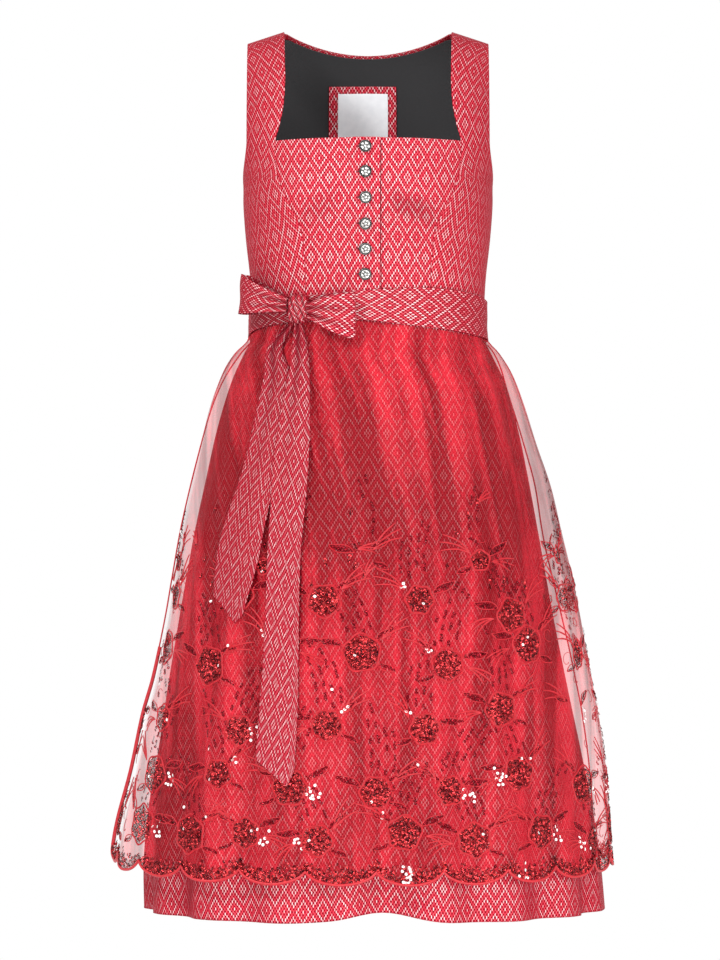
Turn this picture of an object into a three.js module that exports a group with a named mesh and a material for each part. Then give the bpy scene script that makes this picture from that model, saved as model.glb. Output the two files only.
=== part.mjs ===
// A sleeveless, calf-length dirndl as it looks when it is worn: a fitted bodice with six buttons, a flared
// skirt, a gathered see-through apron with a scalloped hem, and a sash tied in a bow.
// Millimetres, +Z up, the front faces -Y and +X is the left hand of whoever wears it.
// The origin lies midway between the shoulders, on the level of the shoulder seams, where the wearer holds
// it up.
import * as THREE from "three";

// Thickness of each kind of cloth, and the gap between two pieces at a seam.
const cloth = {
  bodice: 2.0,
  skirt: 1.6,
  apron: 1.0,
  sash: 2.0,
  bow: 1.6,
  lining: 1.0,
  patch: 0.8,
  label: 0.6,
};
const seamGap = 0.3;

// Heights of the main lines.
const waistZ = -340;
const underarmZ = -176;
const hemZ = -1045;
const backSeamTopZ = -115;

// The shoulder line slopes down from the neck, and the cloth rolls over it to the front and to the back.
const shoulder = { atX: 100, z: 6.5, slope: 0.32, frontFall: 150, backFall: 110, roundness: 2.2 };
const armholeX = 145;

// The bodice's outer face: half widths and depths of its level sections. Centre is the y of the side seams.
const bodiceSections = [
  { z: 40, half: 158, front: 96, back: 100, centre: 20, power: 2.3 },
  { z: -60, half: 160, front: 104, back: 106, centre: 20, power: 2.3 },
  { z: -120, half: 158.5, front: 113, back: 108, centre: 13, power: 2.35 },
  { z: -176, half: 150, front: 119, back: 104, centre: 4, power: 2.35 },
  { z: -205, half: 149.5, front: 119, back: 99, centre: 1, power: 2.3 },
  { z: -245, half: 146.5, front: 110, back: 94, centre: 0, power: 2.25 },
  { z: -290, half: 141.5, front: 103, back: 90, centre: 0, power: 2.2 },
  { z: -325, half: 139.5, front: 100, back: 88.5, centre: 0, power: 2.15 },
  { z: -340, half: 139.5, front: 100.5, back: 89, centre: 0, power: 2.15 },
];
// The fullness that the darts and princess seams give the front.
const bust = { x: 84, z: -200, rise: 9, wide: 40, tall: 38 };

// The strap's inner edge from the shoulder to the neckline's corner, then the princess seam to the waist.
const princessLine = [
  { z: 10, x: 101 },
  { z: -30, x: 99.5 },
  { z: -60, x: 99 },
  { z: -90, x: 101 },
  { z: -115, x: 106 },
  { z: -131, x: 110.5 },
  { z: -162, x: 109 },
  { z: -190, x: 102 },
  { z: -214, x: 90 },
  { z: -236, x: 80 },
  { z: -275, x: 75.5 },
  { z: -340, x: 74 },
];
// The curved seam of the back, from the armhole to the waist.
const backSeamLine = [
  { z: -115, x: 143 },
  { z: -128, x: 128 },
  { z: -150, x: 110 },
  { z: -185, x: 90 },
  { z: -230, x: 72 },
  { z: -290, x: 57 },
  { z: -340, x: 50 },
];
const neckline = { frontZ: -129, frontDip: 2, backZ: -16, backRise: 22.5 };

// The front closes with its right side over its left one.
const closure = { edgeX: 14.4, underX: -12, lapFrom: -26, lapFull: -15, lift: 2.4 };
const buttons = { count: 6, x: -3.4, topZ: -140.5, pitch: 29.8, radius: 7.25, seat: 0.3, segments: 12 };
const buttonProfile = [
  { r: 0, h: 0 },
  { r: 3.2, h: 0 },
  { r: 3.4, h: 1.4 },
  { r: 6.7, h: 1.6 },
  { r: 7.25, h: 2.4 },
  { r: 6.6, h: 3.4 },
  { r: 5.6, h: 3.2 },
  { r: 3.4, h: 4.5 },
  { r: 0, h: 5.0 },
];

// The skirt's outer face with no folds. Left is the -X side as the picture shows it.
const skirtSections = [
  { z: -340, left: 139.5, right: 139.5, front: 100.5, back: 89, power: 2.15 },
  { z: -366, left: 141, right: 141, front: 103, back: 93, power: 2.15 },
  { z: -380, left: 148, right: 147, front: 107.5, back: 101, power: 2.12 },
  { z: -413, left: 163, right: 163, front: 121, back: 118, power: 2.1 },
  { z: -468, left: 180, right: 179, front: 137.5, back: 138, power: 2.1 },
  { z: -530, left: 194, right: 192, front: 153, back: 156, power: 2.1 },
  { z: -600, left: 209, right: 205, front: 169, back: 173, power: 2.1 },
  { z: -690, left: 225, right: 221, front: 189, back: 195, power: 2.1 },
  { z: -780, left: 240, right: 239, front: 206, back: 214, power: 2.1 },
  { z: -860, left: 252, right: 256, front: 222, back: 230, power: 2.1 },
  { z: -930, left: 264, right: 270, front: 234, back: 242, power: 2.1 },
  { z: -991, left: 269, right: 279, front: 241, back: 250, power: 2.1 },
  { z: -1045, left: 268.5, right: 284, front: 246, back: 256, power: 2.1 },
];
// Valleys of the skirt's soft folds: where round the skirt, how wide, and how deep at the hem.
const frontFolds = [
  { at: -78, wide: 9, deep: 12 },
  { at: -56, wide: 10, deep: 14 },
  { at: -33, wide: 10, deep: 10 },
  { at: -14, wide: 8, deep: 8 },
  { at: 5, wide: 12, deep: 24 },
  { at: 27, wide: 9, deep: 12 },
  { at: 47, wide: 10, deep: 14 },
  { at: 68, wide: 9, deep: 13 },
];
const backFolds = { count: 13, from: 98, to: 262, wide: 6.2, deep: 19, uneven: 5 };
const hemLift = { x: 14, wide: 52, rise: 12 };

// The apron's outer face with no gathers.
const apronSections = [
  { z: -335, left: 141.7, right: 141.7, front: 102.6 },
  { z: -352, left: 142.2, right: 142.2, front: 104 },
  { z: -366, left: 144.5, right: 144, front: 107.5 },
  { z: -380, left: 158, right: 156, front: 114 },
  { z: -405, left: 173, right: 171, front: 125 },
  { z: -442, left: 187, right: 185, front: 138.5 },
  { z: -490, left: 199, right: 200, front: 151.5 },
  { z: -541, left: 211, right: 217, front: 164.5 },
  { z: -593, left: 222, right: 229, front: 177 },
  { z: -653, left: 232, right: 243, front: 190 },
  { z: -701, left: 240, right: 252, front: 200 },
  { z: -769, left: 254, right: 264, front: 213 },
  { z: -812, left: 266, right: 272, front: 221 },
  { z: -880, left: 280, right: 281, front: 234 },
  { z: -947, left: 297, right: 285, front: 246 },
  { z: -1010, left: 306, right: 289, front: 254 },
];
const apronBackShare = 0.8;
// Where the apron's two side edges hang, as angles round the skirt.
const apronEdges = [
  { z: -335, from: -96, to: 98 },
  { z: -380, from: -108, to: 106 },
  { z: -420, from: -104, to: 112 },
  { z: -490, from: -97, to: 112 },
  { z: -620, from: -92, to: 116 },
  { z: -760, from: -91, to: 112 },
  { z: -900, from: -91, to: 111 },
  { z: -1010, from: -91, to: 110 },
];
const scallops = { count: 13, steps: 6, deep: 15, sideZ: -986, frontZ: -1000, roundness: 0.9 };
// Gathers stand out from the apron's base, fine ones at the waist and wide ones at the hem.
const gathers = { fineSteps: 4, fine: 1.6, wideSteps: 9.75, wide: 5.5, settle: 34 };

// The sash's upper and lower edge, by the angle round the waist.
const sashEdges = [
  { at: -180, top: -318, bottom: -368 },
  { at: -120, top: -318, bottom: -368 },
  { at: -90, top: -319, bottom: -362 },
  { at: -62, top: -317, bottom: -352 },
  { at: -38, top: -317, bottom: -346 },
  { at: -8, top: -310, bottom: -343.5 },
  { at: 14, top: -307, bottom: -348 },
  { at: 36, top: -306, bottom: -354 },
  { at: 62, top: -313, bottom: -361 },
  { at: 90, top: -320, bottom: -366 },
  { at: 120, top: -319, bottom: -368 },
  { at: 180, top: -318, bottom: -368 },
];
const sashOff = 2.0;
const liningOff = 2.6;

// The bow sits on the sash, a hand's breadth to the right of the front. Its loops are given along the sash.
const knot = { x: -74, z: -331, wide: 12, tall: 15.8, deep: 9.6, off: 0.2, squareness: 0.62 };
const loopSteps = { along: 22, across: 3 };
// far: from the knot's middle, out: from the waist, z: middle of the ribbon, tall: half its width.
const leftLoop = [
  { far: 9.6, out: 15, z: -326, tall: 8 },
  { far: 28, out: 21, z: -321, tall: 13.5 },
  { far: 50, out: 24, z: -315, tall: 20 },
  { far: 70, out: 20, z: -311.5, tall: 23.5 },
  { far: 77.5, out: 13, z: -312, tall: 23.5 },
  { far: 70, out: 7.5, z: -313, tall: 23 },
  { far: 50, out: 6, z: -317, tall: 19 },
  { far: 28, out: 6.5, z: -322, tall: 13 },
  { far: 9.6, out: 8, z: -327, tall: 8 },
];
const rightLoop = [
  { far: 9.6, out: 16, z: -333, tall: 8.5 },
  { far: 20, out: 21, z: -334, tall: 15 },
  { far: 33, out: 22.5, z: -337, tall: 22 },
  { far: 46, out: 19, z: -339, tall: 26 },
  { far: 51, out: 14.5, z: -340, tall: 26.5 },
  { far: 46, out: 10, z: -340, tall: 26 },
  { far: 33, out: 9, z: -339, tall: 21 },
  { far: 20, out: 9, z: -335, tall: 14 },
  { far: 9.6, out: 9.5, z: -333, tall: 8.5 },
];
// The tails hang down over the apron. Left and right are their two edges, off is the room under them.
const longTail = [
  { z: -348, left: -87, right: -77, off: 12 },
  { z: -376, left: -89.5, right: -71, off: 10 },
  { z: -400, left: -92, right: -69, off: 7.5 },
  { z: -444, left: -101, right: -68, off: 5 },
  { z: -499, left: -110, right: -69, off: 4.4 },
  { z: -556, left: -114, right: -73, off: 3.2 },
  { z: -624, left: -118, right: -79, off: 1.2 },
  { z: -738, left: -122, right: -81, off: 0.8 },
  { z: -805, left: -127, right: -82, off: 0.8 },
  { z: -887, left: -133, right: -87, off: 0.8 },
];
const longTailEnd = { left: -856, tip: -887, right: -868, tipAt: 0.85 };
const shortTail = [
  { z: -349, left: -98, right: -86, off: 6.5 },
  { z: -376, left: -119, right: -101, off: 4 },
  { z: -407, left: -123, right: -92, off: 2 },
  { z: -462, left: -134, right: -96, off: 1 },
  { z: -520, left: -148, right: -106, off: 0.8 },
  { z: -590, left: -171, right: -122, off: 0.8 },
  { z: -628, left: -179, right: -129, off: 0.8 },
  { z: -700, left: -183, right: -150, off: 0.8 },
];
const shortTailEnd = { left: -669, tip: -700, right: -691, tipAt: 0.8 };
const tailSteps = { along: 14, across: 4 };

// A square of the dress cloth is sewn to the lining at the back of the neck, with a plain woven label on it.
const patch = { x: -6.6, topZ: -52, wide: 84, tall: 84 };
const label = { x: -6.2, topZ: -61, wide: 62, tall: 62 };

const colours = {
  dressCloth: 0xe06073,
  sashCloth: 0xdb6070,
  organza: 0xc8303c,
  lining: 0x2b2b2c,
  silver: 0xb8b8b4,
  label: 0xe6e8ea,
};
const finishes = {
  dressCloth: new THREE.MeshStandardMaterial({ color: colours.dressCloth, roughness: 0.7 }),
  sashCloth: new THREE.MeshStandardMaterial({ color: colours.sashCloth, roughness: 0.7 }),
  organza: new THREE.MeshStandardMaterial({
    color: colours.organza,
    roughness: 0.5,
    transparent: true,
    opacity: 0.6,
  }),
  lining: new THREE.MeshStandardMaterial({ color: colours.lining, roughness: 0.9 }),
  silver: new THREE.MeshStandardMaterial({ color: colours.silver, roughness: 0.3, metalness: 1 }),
  label: new THREE.MeshStandardMaterial({ color: colours.label, roughness: 0.6 }),
};

const degrees = Math.PI / 180;
const mix = (a, b, t) => a + (b - a) * t;
const clamp = (v, low, high) => Math.min(Math.max(v, low), high);
const ease = (t) => t * t * (3 - 2 * t);

// A smooth curve through one column of a table, read at a value of its key column.
function curve(rows, column, key = "z") {
  const rising = rows[0][key] < rows[rows.length - 1][key] ? 1 : -1;
  const at = rows.map((row) => rising * row[key]);
  const value = rows.map((row) => row[column]);
  const last = rows.length - 1;
  const slope = value.map((_, i) => {
    const before = Math.max(i - 1, 0);
    const after = Math.min(i + 1, last);
    return (value[after] - value[before]) / (at[after] - at[before]);
  });
  return (where) => {
    const t = clamp(rising * where, at[0], at[last]);
    const i = clamp(at.findIndex((x) => x >= t) - 1, 0, last - 1);
    const step = at[i + 1] - at[i];
    const s = (t - at[i]) / step;
    const ends = mix(value[i], value[i + 1], ease(s));
    return ends + step * s * (1 - s) * (slope[i] * (1 - s) - slope[i + 1] * s);
  };
}
const columnsOf = (rows, names, key) =>
  Object.fromEntries(names.map((name) => [name, curve(rows, name, key)]));

// The unit outline of a rounded section. Theta 0 is the front and a quarter turn is the +X side.
function outline(theta, power) {
  const s = Math.sin(theta);
  const c = Math.cos(theta);
  const r = (Math.abs(s) ** power + Math.abs(c) ** power) ** (-1 / power);
  return { side: r * s, front: r * c };
}
// How far forward the unit outline is where it is this far to the side.
const frontShare = (side, power) => Math.max(0, 1 - Math.abs(side) ** power) ** (1 / power);
const frontTheta = (side, power) => Math.atan2(clamp(side, -1, 1), frontShare(clamp(side, -1, 1), power));
const backTheta = (side, power) => Math.PI - frontTheta(side, power);

const bodice = columnsOf(bodiceSections, ["half", "front", "back", "centre", "power"]);
const princessX = curve(princessLine, "x");
const backSeamX = curve(backSeamLine, "x");
const ridgeZ = (x) => shoulder.z - shoulder.slope * (Math.abs(x) - shoulder.atX);

// The outer face of the bodice.
function bodicePoint(theta, z) {
  const section = outline(theta, bodice.power(z));
  const x = bodice.half(z) * section.side;
  const centre = bodice.centre(z);
  const isFront = section.front > 0;
  const depth = isFront ? bodice.front(z) + centre : bodice.back(z) - centre;
  const fall = isFront ? shoulder.frontFall : shoulder.backFall;
  const below = clamp((ridgeZ(x) - z) / fall, 0, 1);
  const roll = (1 - (1 - below) ** shoulder.roundness) ** (1 / shoulder.roundness);
  const spread = ((Math.abs(x) - bust.x) / bust.wide) ** 2 + ((z - bust.z) / bust.tall) ** 2;
  const rise = isFront ? bust.rise * Math.exp(-spread / 2) : 0;
  const y = centre - section.front * (depth * roll + rise);
  return new THREE.Vector3(x, y + (isFront ? -0.25 : 0.25), z);
}

// The outward normal of a surface that is a function of theta and z.
function normalOf(surface, theta, z) {
  const turn = 0.004;
  const drop = 0.5;
  const across = surface(theta + turn, z).sub(surface(theta - turn, z));
  const up = surface(theta, z).sub(surface(theta, z - drop));
  return across.cross(up).normalize();
}

// A wall of cloth between a grid of outer points and the same grid moved in along the normals.
function wall(grid, thickness) {
  const rows = grid.length - 1;
  const columns = grid[0].length - 1;
  const across = columns + 1;
  const count = (rows + 1) * across;
  const positions = [];
  for (const depth of [0, thickness]) {
    for (const row of grid) {
      for (const { point, normal } of row) positions.push(...point.clone().addScaledVector(normal, -depth));
    }
  }
  const faces = [];
  const quad = (a, b, c, d) => faces.push(a, b, c, a, c, d);
  const at = (i, j) => i * across + j;
  for (let i = 0; i < rows; i++) {
    for (let j = 0; j < columns; j++) {
      quad(at(i, j), at(i + 1, j), at(i + 1, j + 1), at(i, j + 1));
      quad(count + at(i, j), count + at(i, j + 1), count + at(i + 1, j + 1), count + at(i + 1, j));
    }
  }
  for (let j = 0; j < columns; j++) {
    quad(at(0, j), at(0, j + 1), count + at(0, j + 1), count + at(0, j));
    quad(at(rows, j), count + at(rows, j), count + at(rows, j + 1), at(rows, j + 1));
  }
  for (let i = 0; i < rows; i++) {
    quad(at(i, 0), count + at(i, 0), count + at(i + 1, 0), at(i + 1, 0));
    quad(at(i, columns), at(i + 1, columns), count + at(i + 1, columns), count + at(i, columns));
  }
  const geometry = new THREE.BufferGeometry();
  geometry.setAttribute("position", new THREE.Float32BufferAttribute(positions, 3));
  geometry.setIndex(faces);
  return geometry;
}

const dirndl = new THREE.Group();
function add(name, geometry, finish) {
  const mesh = new THREE.Mesh(geometry, finish);
  mesh.name = name;
  dirndl.add(mesh);
  return mesh;
}

// A panel on a surface. Its lines run down it from edge to edge (theta by z), with a count of columns between
// each two, and its rows run across it (z by x).
function panel({ surface, lines, columns, rows, inset = 0, lift = () => 0 }) {
  return rows.map((row) => {
    const thetas = lines.map((line) => {
      let theta = line(row(0));
      for (let pass = 0; pass < 8; pass++) theta = line(row(surface(theta, row(0)).x));
      return theta;
    });
    const stations = columns.flatMap((count, k) =>
      Array.from({ length: count }, (_, j) => mix(thetas[k], thetas[k + 1], j / count)),
    );
    stations.push(thetas[thetas.length - 1]);
    return stations.map((theta) => {
      let z = row(0);
      for (let pass = 0; pass < 6; pass++) z = row(surface(theta, z).x);
      const normal = normalOf(surface, theta, z);
      const point = surface(theta, z);
      point.addScaledVector(normal, lift(point.x) - inset);
      return { point, normal };
    });
  });
}
const evenly = (count) => Array.from({ length: count + 1 }, (_, i) => i / count);

// Rows of the bodice: some follow the shoulder line, close together where it curves, and the others are
// level, so that two panels have the same heights along their seam.
const strapFoot = -108;
const strapShares = [0, 0.012, 0.05, 0.12, 0.24, 0.42, 0.62, 0.82];
const strapRows = (top) => strapShares.map((share) => (x) => mix(top(x), strapFoot, share));
const neckCornerZ = -131.5;
const bustLevels = [-149, -164, -172, -180, -195, -210];
const levels = [strapFoot, -115, -123, neckCornerZ, ...bustLevels, -226, -245, -270, -304, waistZ];
const levelsFrom = (top) => levels.filter((level) => level <= top).map((level) => () => level);
const levelsBelow = (top) => levels.filter((level) => level < top).map((level) => () => level);

const sideShare = (x, z) => x / bodice.half(z);
const armhole = (z) => {
  const foot = ease(clamp((z + 128) / (underarmZ + 128), 0, 1));
  return z > underarmZ ? mix(armholeX, bodice.half(underarmZ), foot) : bodice.half(z);
};
const frontNeck = (x) => neckline.frontZ - neckline.frontDip * (x / shoulder.atX) ** 2;
const halfGap = seamGap / 2;

// The two centre fronts, from the neckline to the waist. The right one laps over the left one.
const frontAt = (x) => (z) => frontTheta(sideShare(x(z), z), bodice.power(z));
const frontLine = (x) => frontAt(() => x);
const centreFronts = [
  {
    name: "bodice_centre_front_right",
    lines: [
      frontAt((z) => -princessX(z) + halfGap),
      frontLine(closure.lapFrom),
      frontLine(closure.lapFull),
      frontLine(closure.edgeX),
    ],
    columns: [4, 1, 2],
    lift: (x) => {
      const onto = clamp((x - closure.lapFrom) / (closure.lapFull - closure.lapFrom), 0, 1);
      return closure.lift * ease(onto);
    },
  },
  {
    name: "bodice_centre_front_left",
    lines: [frontLine(closure.underX), frontLine(closure.edgeX), frontAt((z) => princessX(z) - halfGap)],
    columns: [2, 5],
    lift: () => 0,
  },
];
for (const { name, lines, columns, lift } of centreFronts) {
  const rows = [frontNeck, ...levelsBelow(neckCornerZ)];
  const grid = panel({ surface: bodicePoint, lines, columns, rows, lift });
  add(name, wall(grid, cloth.bodice), finishes.dressCloth);
}

// The two side fronts with the front half of the straps.
for (const [name, side] of [["bodice_side_front_right", -1], ["bodice_side_front_left", 1]]) {
  const inner = frontAt((z) => side * (princessX(z) + halfGap));
  const outer = frontAt((z) => side * armhole(z));
  const grid = panel({
    surface: bodicePoint,
    lines: side < 0 ? [outer, inner] : [inner, outer],
    columns: [5],
    rows: [...strapRows(ridgeZ), ...levelsFrom(strapFoot)],
  });
  add(name, wall(grid, cloth.bodice), finishes.dressCloth);
}

// The back: a middle panel with the back half of the straps, and two side panels under the arms.
const backNeck = (x) => {
  const share = Math.abs(x) / shoulder.atX;
  return share < 1 ? Math.min(ridgeZ(x), neckline.backZ + neckline.backRise * share ** 2) : ridgeZ(x);
};
const backAt = (x) => (z) => backTheta(sideShare(x(z), z), bodice.power(z));
const backPanelX = (z) => (z > backSeamTopZ ? armhole(z) : backSeamX(z) - halfGap);
const centreBack = panel({
  surface: bodicePoint,
  lines: [backAt((z) => backPanelX(z)), backAt((z) => -backPanelX(z))],
  columns: [9],
  rows: [...strapRows(backNeck), ...levelsFrom(strapFoot)],
});
add("bodice_centre_back", wall(centreBack, cloth.bodice), finishes.dressCloth);
for (const [name, side] of [["bodice_side_back_right", -1], ["bodice_side_back_left", 1]]) {
  const inner = backAt((z) => side * (backSeamX(z) + halfGap));
  const outer = backAt((z) => side * armhole(z));
  const grid = panel({
    surface: bodicePoint,
    lines: side < 0 ? [inner, outer] : [outer, inner],
    columns: [5],
    rows: levelsBelow(strapFoot),
  });
  add(name, wall(grid, cloth.bodice), finishes.dressCloth);
}

// The lining of the back, just inside the panels.
const liningEdge = 2.5;
const liningGrid = panel({
  surface: bodicePoint,
  lines: [backAt((z) => armhole(z) - liningEdge), backAt((z) => liningEdge - armhole(z))],
  columns: [10],
  rows: [...strapRows((x) => backNeck(x) - liningEdge), ...levelsFrom(strapFoot)],
  inset: cloth.bodice + liningOff,
});
add("back_lining", wall(liningGrid, cloth.lining), finishes.lining);

// The square patch and the label, one on the other inside the lining.
function sewnInside(piece, inset, rows, columns) {
  const reach = (x) => backAt(() => x);
  return panel({
    surface: bodicePoint,
    lines: [reach(piece.x + piece.wide / 2), reach(piece.x - piece.wide / 2)],
    columns: [columns],
    rows: evenly(rows).map((share) => () => piece.topZ - share * piece.tall),
    inset,
  });
}
const patchInset = cloth.bodice + liningOff + cloth.lining + 0.9;
add("label_backing", wall(sewnInside(patch, patchInset, 4, 6), cloth.patch), finishes.dressCloth);
const labelInset = patchInset + cloth.patch + 0.6;
add("neck_label", wall(sewnInside(label, labelInset, 3, 5), cloth.label), finishes.label);

// Six domed buttons down the closure.
for (let i = 0; i < buttons.count; i++) {
  const z = buttons.topZ - i * buttons.pitch;
  const theta = frontTheta(sideShare(buttons.x, z), bodice.power(z));
  const normal = normalOf(bodicePoint, theta, z);
  const profile = buttonProfile.map(({ r, h }) => new THREE.Vector2(r, h));
  const button = add(`button_${i + 1}`, new THREE.LatheGeometry(profile, buttons.segments), finishes.silver);
  button.position.copy(bodicePoint(theta, z)).addScaledVector(normal, closure.lift + buttons.seat);
  button.quaternion.setFromUnitVectors(new THREE.Vector3(0, 1, 0), normal);
}

// The skirt, with soft folds that start at the waist and deepen to the hem.
const skirt = columnsOf(skirtSections, ["left", "right", "front", "back", "power"]);
const foldTable = [...frontFolds];
for (let i = 0; i < backFolds.count; i++) {
  const at = mix(backFolds.from, backFolds.to, i / (backFolds.count - 1));
  const swing = backFolds.uneven * Math.sin(i * 2.4);
  foldTable.push({ at, wide: backFolds.wide, deep: backFolds.deep + swing });
}
function foldDepth(theta, z) {
  const down = clamp((waistZ - z) / (waistZ - hemZ), 0, 1);
  const angle = theta / degrees;
  let depth = 0;
  for (const { at, wide, deep } of foldTable) {
    const away = Math.abs(((angle - at + 540) % 360) - 180) / wide;
    if (away < 1) depth += deep * (0.5 + 0.5 * Math.cos(Math.PI * away));
  }
  return depth * (0.05 * ease(clamp(down * 12, 0, 1)) + 0.95 * down ** 1.15);
}
function ringPoint(theta, section, sizes, grow) {
  const { side, front } = outline(theta, section);
  const x = side * ((side < 0 ? sizes.left : sizes.right) + grow);
  const y = -front * ((front > 0 ? sizes.front : sizes.back) + grow);
  return [x, y];
}
function skirtPoint(theta, z) {
  const sizes = { left: skirt.left(z), right: skirt.right(z), front: skirt.front(z), back: skirt.back(z) };
  const [x, y] = ringPoint(theta, skirt.power(z), sizes, -foldDepth(theta, z));
  return new THREE.Vector3(x, y, z);
}
const skirtHem = (x) => hemZ + hemLift.rise * Math.exp(-(((x - hemLift.x) / hemLift.wide) ** 2));
const skirtDrops = [0, 26, 42, 75, 125, 190, 270, 370, 480, 590, 705];
const skirtShares = skirtDrops.map((drop) => drop / skirtDrops[skirtDrops.length - 1]);
const seamTurn = 0.15 / skirt.right(waistZ);
const skirtPanels = [
  { name: "skirt_front", middle: 0, columns: 44, hem: skirtHem },
  { name: "skirt_back", middle: Math.PI, columns: 50, hem: () => hemZ },
];
const quarter = Math.PI / 2;
for (const { name, middle, columns, hem } of skirtPanels) {
  const grid = panel({
    surface: skirtPoint,
    lines: [() => middle - quarter + seamTurn, () => middle + quarter - seamTurn],
    columns: [columns],
    rows: skirtShares.map((share) => (x) => mix(waistZ - seamGap, hem(x), share)),
  });
  add(name, wall(grid, cloth.skirt), finishes.dressCloth);
}

// The sash round the waist, in two lengths that meet at the sides.
const sash = columnsOf(sashEdges, ["top", "bottom"], "at");
const aroundWaist = (theta) => ((theta / degrees + 540) % 360) - 180;
// The sash passes over the lap of the closure.
const overLap = (x) => closure.lift * ease(clamp((x + 42) / 16, 0, 1)) * ease(clamp((34 - x) / 16, 0, 1));
const smoothWaist = (theta, z) => {
  const level = z > waistZ ? bodice : skirt;
  const side = z > waistZ ? bodice.half(z) : skirt.right(z);
  const sizes = { left: side, right: side, front: level.front(z), back: level.back(z) };
  const [plainX] = ringPoint(theta, level.power(z), sizes, 0);
  const lap = Math.cos(theta) > 0 ? overLap(plainX) : 0;
  const [x, y] = ringPoint(theta, level.power(z), sizes, sashOff + cloth.sash + lap);
  return new THREE.Vector3(x, y, z);
};
function sashGrid(from, to, columns, rows) {
  return evenly(rows).map((share) =>
    evenly(columns).map((along) => {
      const theta = mix(from, to, along);
      const z = mix(sash.top(aroundWaist(theta)), sash.bottom(aroundWaist(theta)), share);
      return { point: smoothWaist(theta, z), normal: normalOf(smoothWaist, theta, z) };
    }),
  );
}
const sashTurn = 0.15 / smoothWaist(Math.PI / 2, waistZ).x;
for (const { name, middle, columns } of [
  { name: "sash_front", middle: 0, columns: 24 },
  { name: "sash_back", middle: Math.PI, columns: 20 },
]) {
  const grid = sashGrid(middle - quarter + sashTurn, middle + quarter - sashTurn, columns, 3);
  add(name, wall(grid, cloth.sash), finishes.sashCloth);
}

// The apron, one gathered sheet from the sash's lower edge to a scalloped hem.
const apron = columnsOf(apronSections, ["left", "right", "front"]);
const apronEdge = columnsOf(apronEdges, ["from", "to"]);
const apronColumns = scallops.count * scallops.steps;
const apronPower = 2.1;
const apronTop = (theta) => sash.bottom(clamp(theta / degrees, -180, 180)) - 1.2;
function apronWave(step, z, top) {
  const down = clamp((top - z) / (top - hemZ), 0, 1);
  const start = ease(clamp((top - z) / gathers.settle, 0, 1));
  const ripple = 0.5 + 0.5 * Math.cos((2 * Math.PI * step) / gathers.fineSteps);
  const fine = gathers.fine * (1 - 0.45 * down) * ripple;
  const phase = (2 * Math.PI * step) / gathers.wideSteps + 0.9 * Math.sin(step * 0.31);
  const wide = gathers.wide * down ** 1.2 * (0.5 + 0.5 * Math.cos(phase));
  return start * (fine + wide);
}
function apronPoint(theta, z, grow) {
  const sizes = { left: apron.left(z), right: apron.right(z), front: apron.front(z) };
  const [x, y] = ringPoint(theta, apronPower, { ...sizes, back: sizes.front * apronBackShare }, grow);
  return new THREE.Vector3(x, y, z);
}
function scallopLift(step) {
  const u = 2 * ((step / scallops.steps) % 1) - 1;
  const arc = (v) => 1 - Math.sqrt(1 - v * v * scallops.roundness);
  return (scallops.deep * arc(u)) / arc(1);
}
const apronDrops = [0, 14, 32, 62, 110, 190, 300, 420, 540, 612, 655];
const apronGrid = apronDrops.map((drop, row) =>
  evenly(apronColumns).map((along, step) => {
    const share = drop / apronDrops[apronDrops.length - 1];
    const middle = 1 - Math.abs(2 * along - 1) ** 3;
    const hem = mix(scallops.sideZ, scallops.frontZ, middle) + scallopLift(step);
    const plain = mix(scallops.sideZ, scallops.frontZ, middle) + scallops.deep;
    const thetaAt = (z) => mix(apronEdge.from(z), apronEdge.to(z), along) * degrees;
    let top = waistZ;
    for (let pass = 0; pass < 4; pass++) top = apronTop(thetaAt(top));
    const z = row === apronDrops.length - 1 ? hem : mix(top, plain, share);
    const surface = (turn, level) => apronPoint(thetaAt(level) + turn, level, apronWave(step, level, top));
    return { point: surface(0, z), normal: normalOf(surface, 0, z) };
  }),
);
add("apron", wall(apronGrid, cloth.apron), finishes.organza);

// A point on the front of the apron, off by a clearance that also covers its gathers.
function overApron(x, z, off) {
  const down = clamp((waistZ - z) / (waistZ - hemZ), 0, 1);
  const clear = off + gathers.fine * (1 - 0.45 * down) + gathers.wide * down ** 1.2;
  const side = (x < 0 ? apron.left(z) : apron.right(z)) + clear;
  return new THREE.Vector3(x, -(apron.front(z) + clear) * frontShare(x / side, apronPower), z);
}

// The bow's knot, a flattened ball on the sash.
const waistRing = (theta, out) => {
  const sizes = { left: skirt.left(waistZ), right: skirt.right(waistZ), front: skirt.front(waistZ), back: 0 };
  const [x, y] = ringPoint(theta, skirt.power(waistZ), sizes, out);
  return new THREE.Vector3(x, y, 0);
};
const knotTheta = frontTheta(knot.x / skirt.left(waistZ), skirt.power(waistZ));
const sashFace = sashOff + cloth.sash;
const knotShape = new THREE.SphereGeometry(1, 14, 10);
const knotPoints = knotShape.attributes.position;
const swell = (v) => Math.sign(v) * Math.abs(v) ** knot.squareness;
for (let i = 0; i < knotPoints.count; i++) {
  const [x, y, z] = [knotPoints.getX(i), knotPoints.getY(i), knotPoints.getZ(i)].map(swell);
  knotPoints.setXYZ(i, x, y, z);
}
const knotMesh = add("bow_knot", knotShape, finishes.sashCloth);
knotMesh.position.copy(waistRing(knotTheta, sashFace + knot.deep + knot.off)).setZ(knot.z);
knotMesh.scale.set(knot.wide, knot.deep, knot.tall);
const outward = normalOf(smoothWaist, knotTheta, knot.z);
knotMesh.rotation.z = Math.atan2(outward.x, -outward.y);

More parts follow.
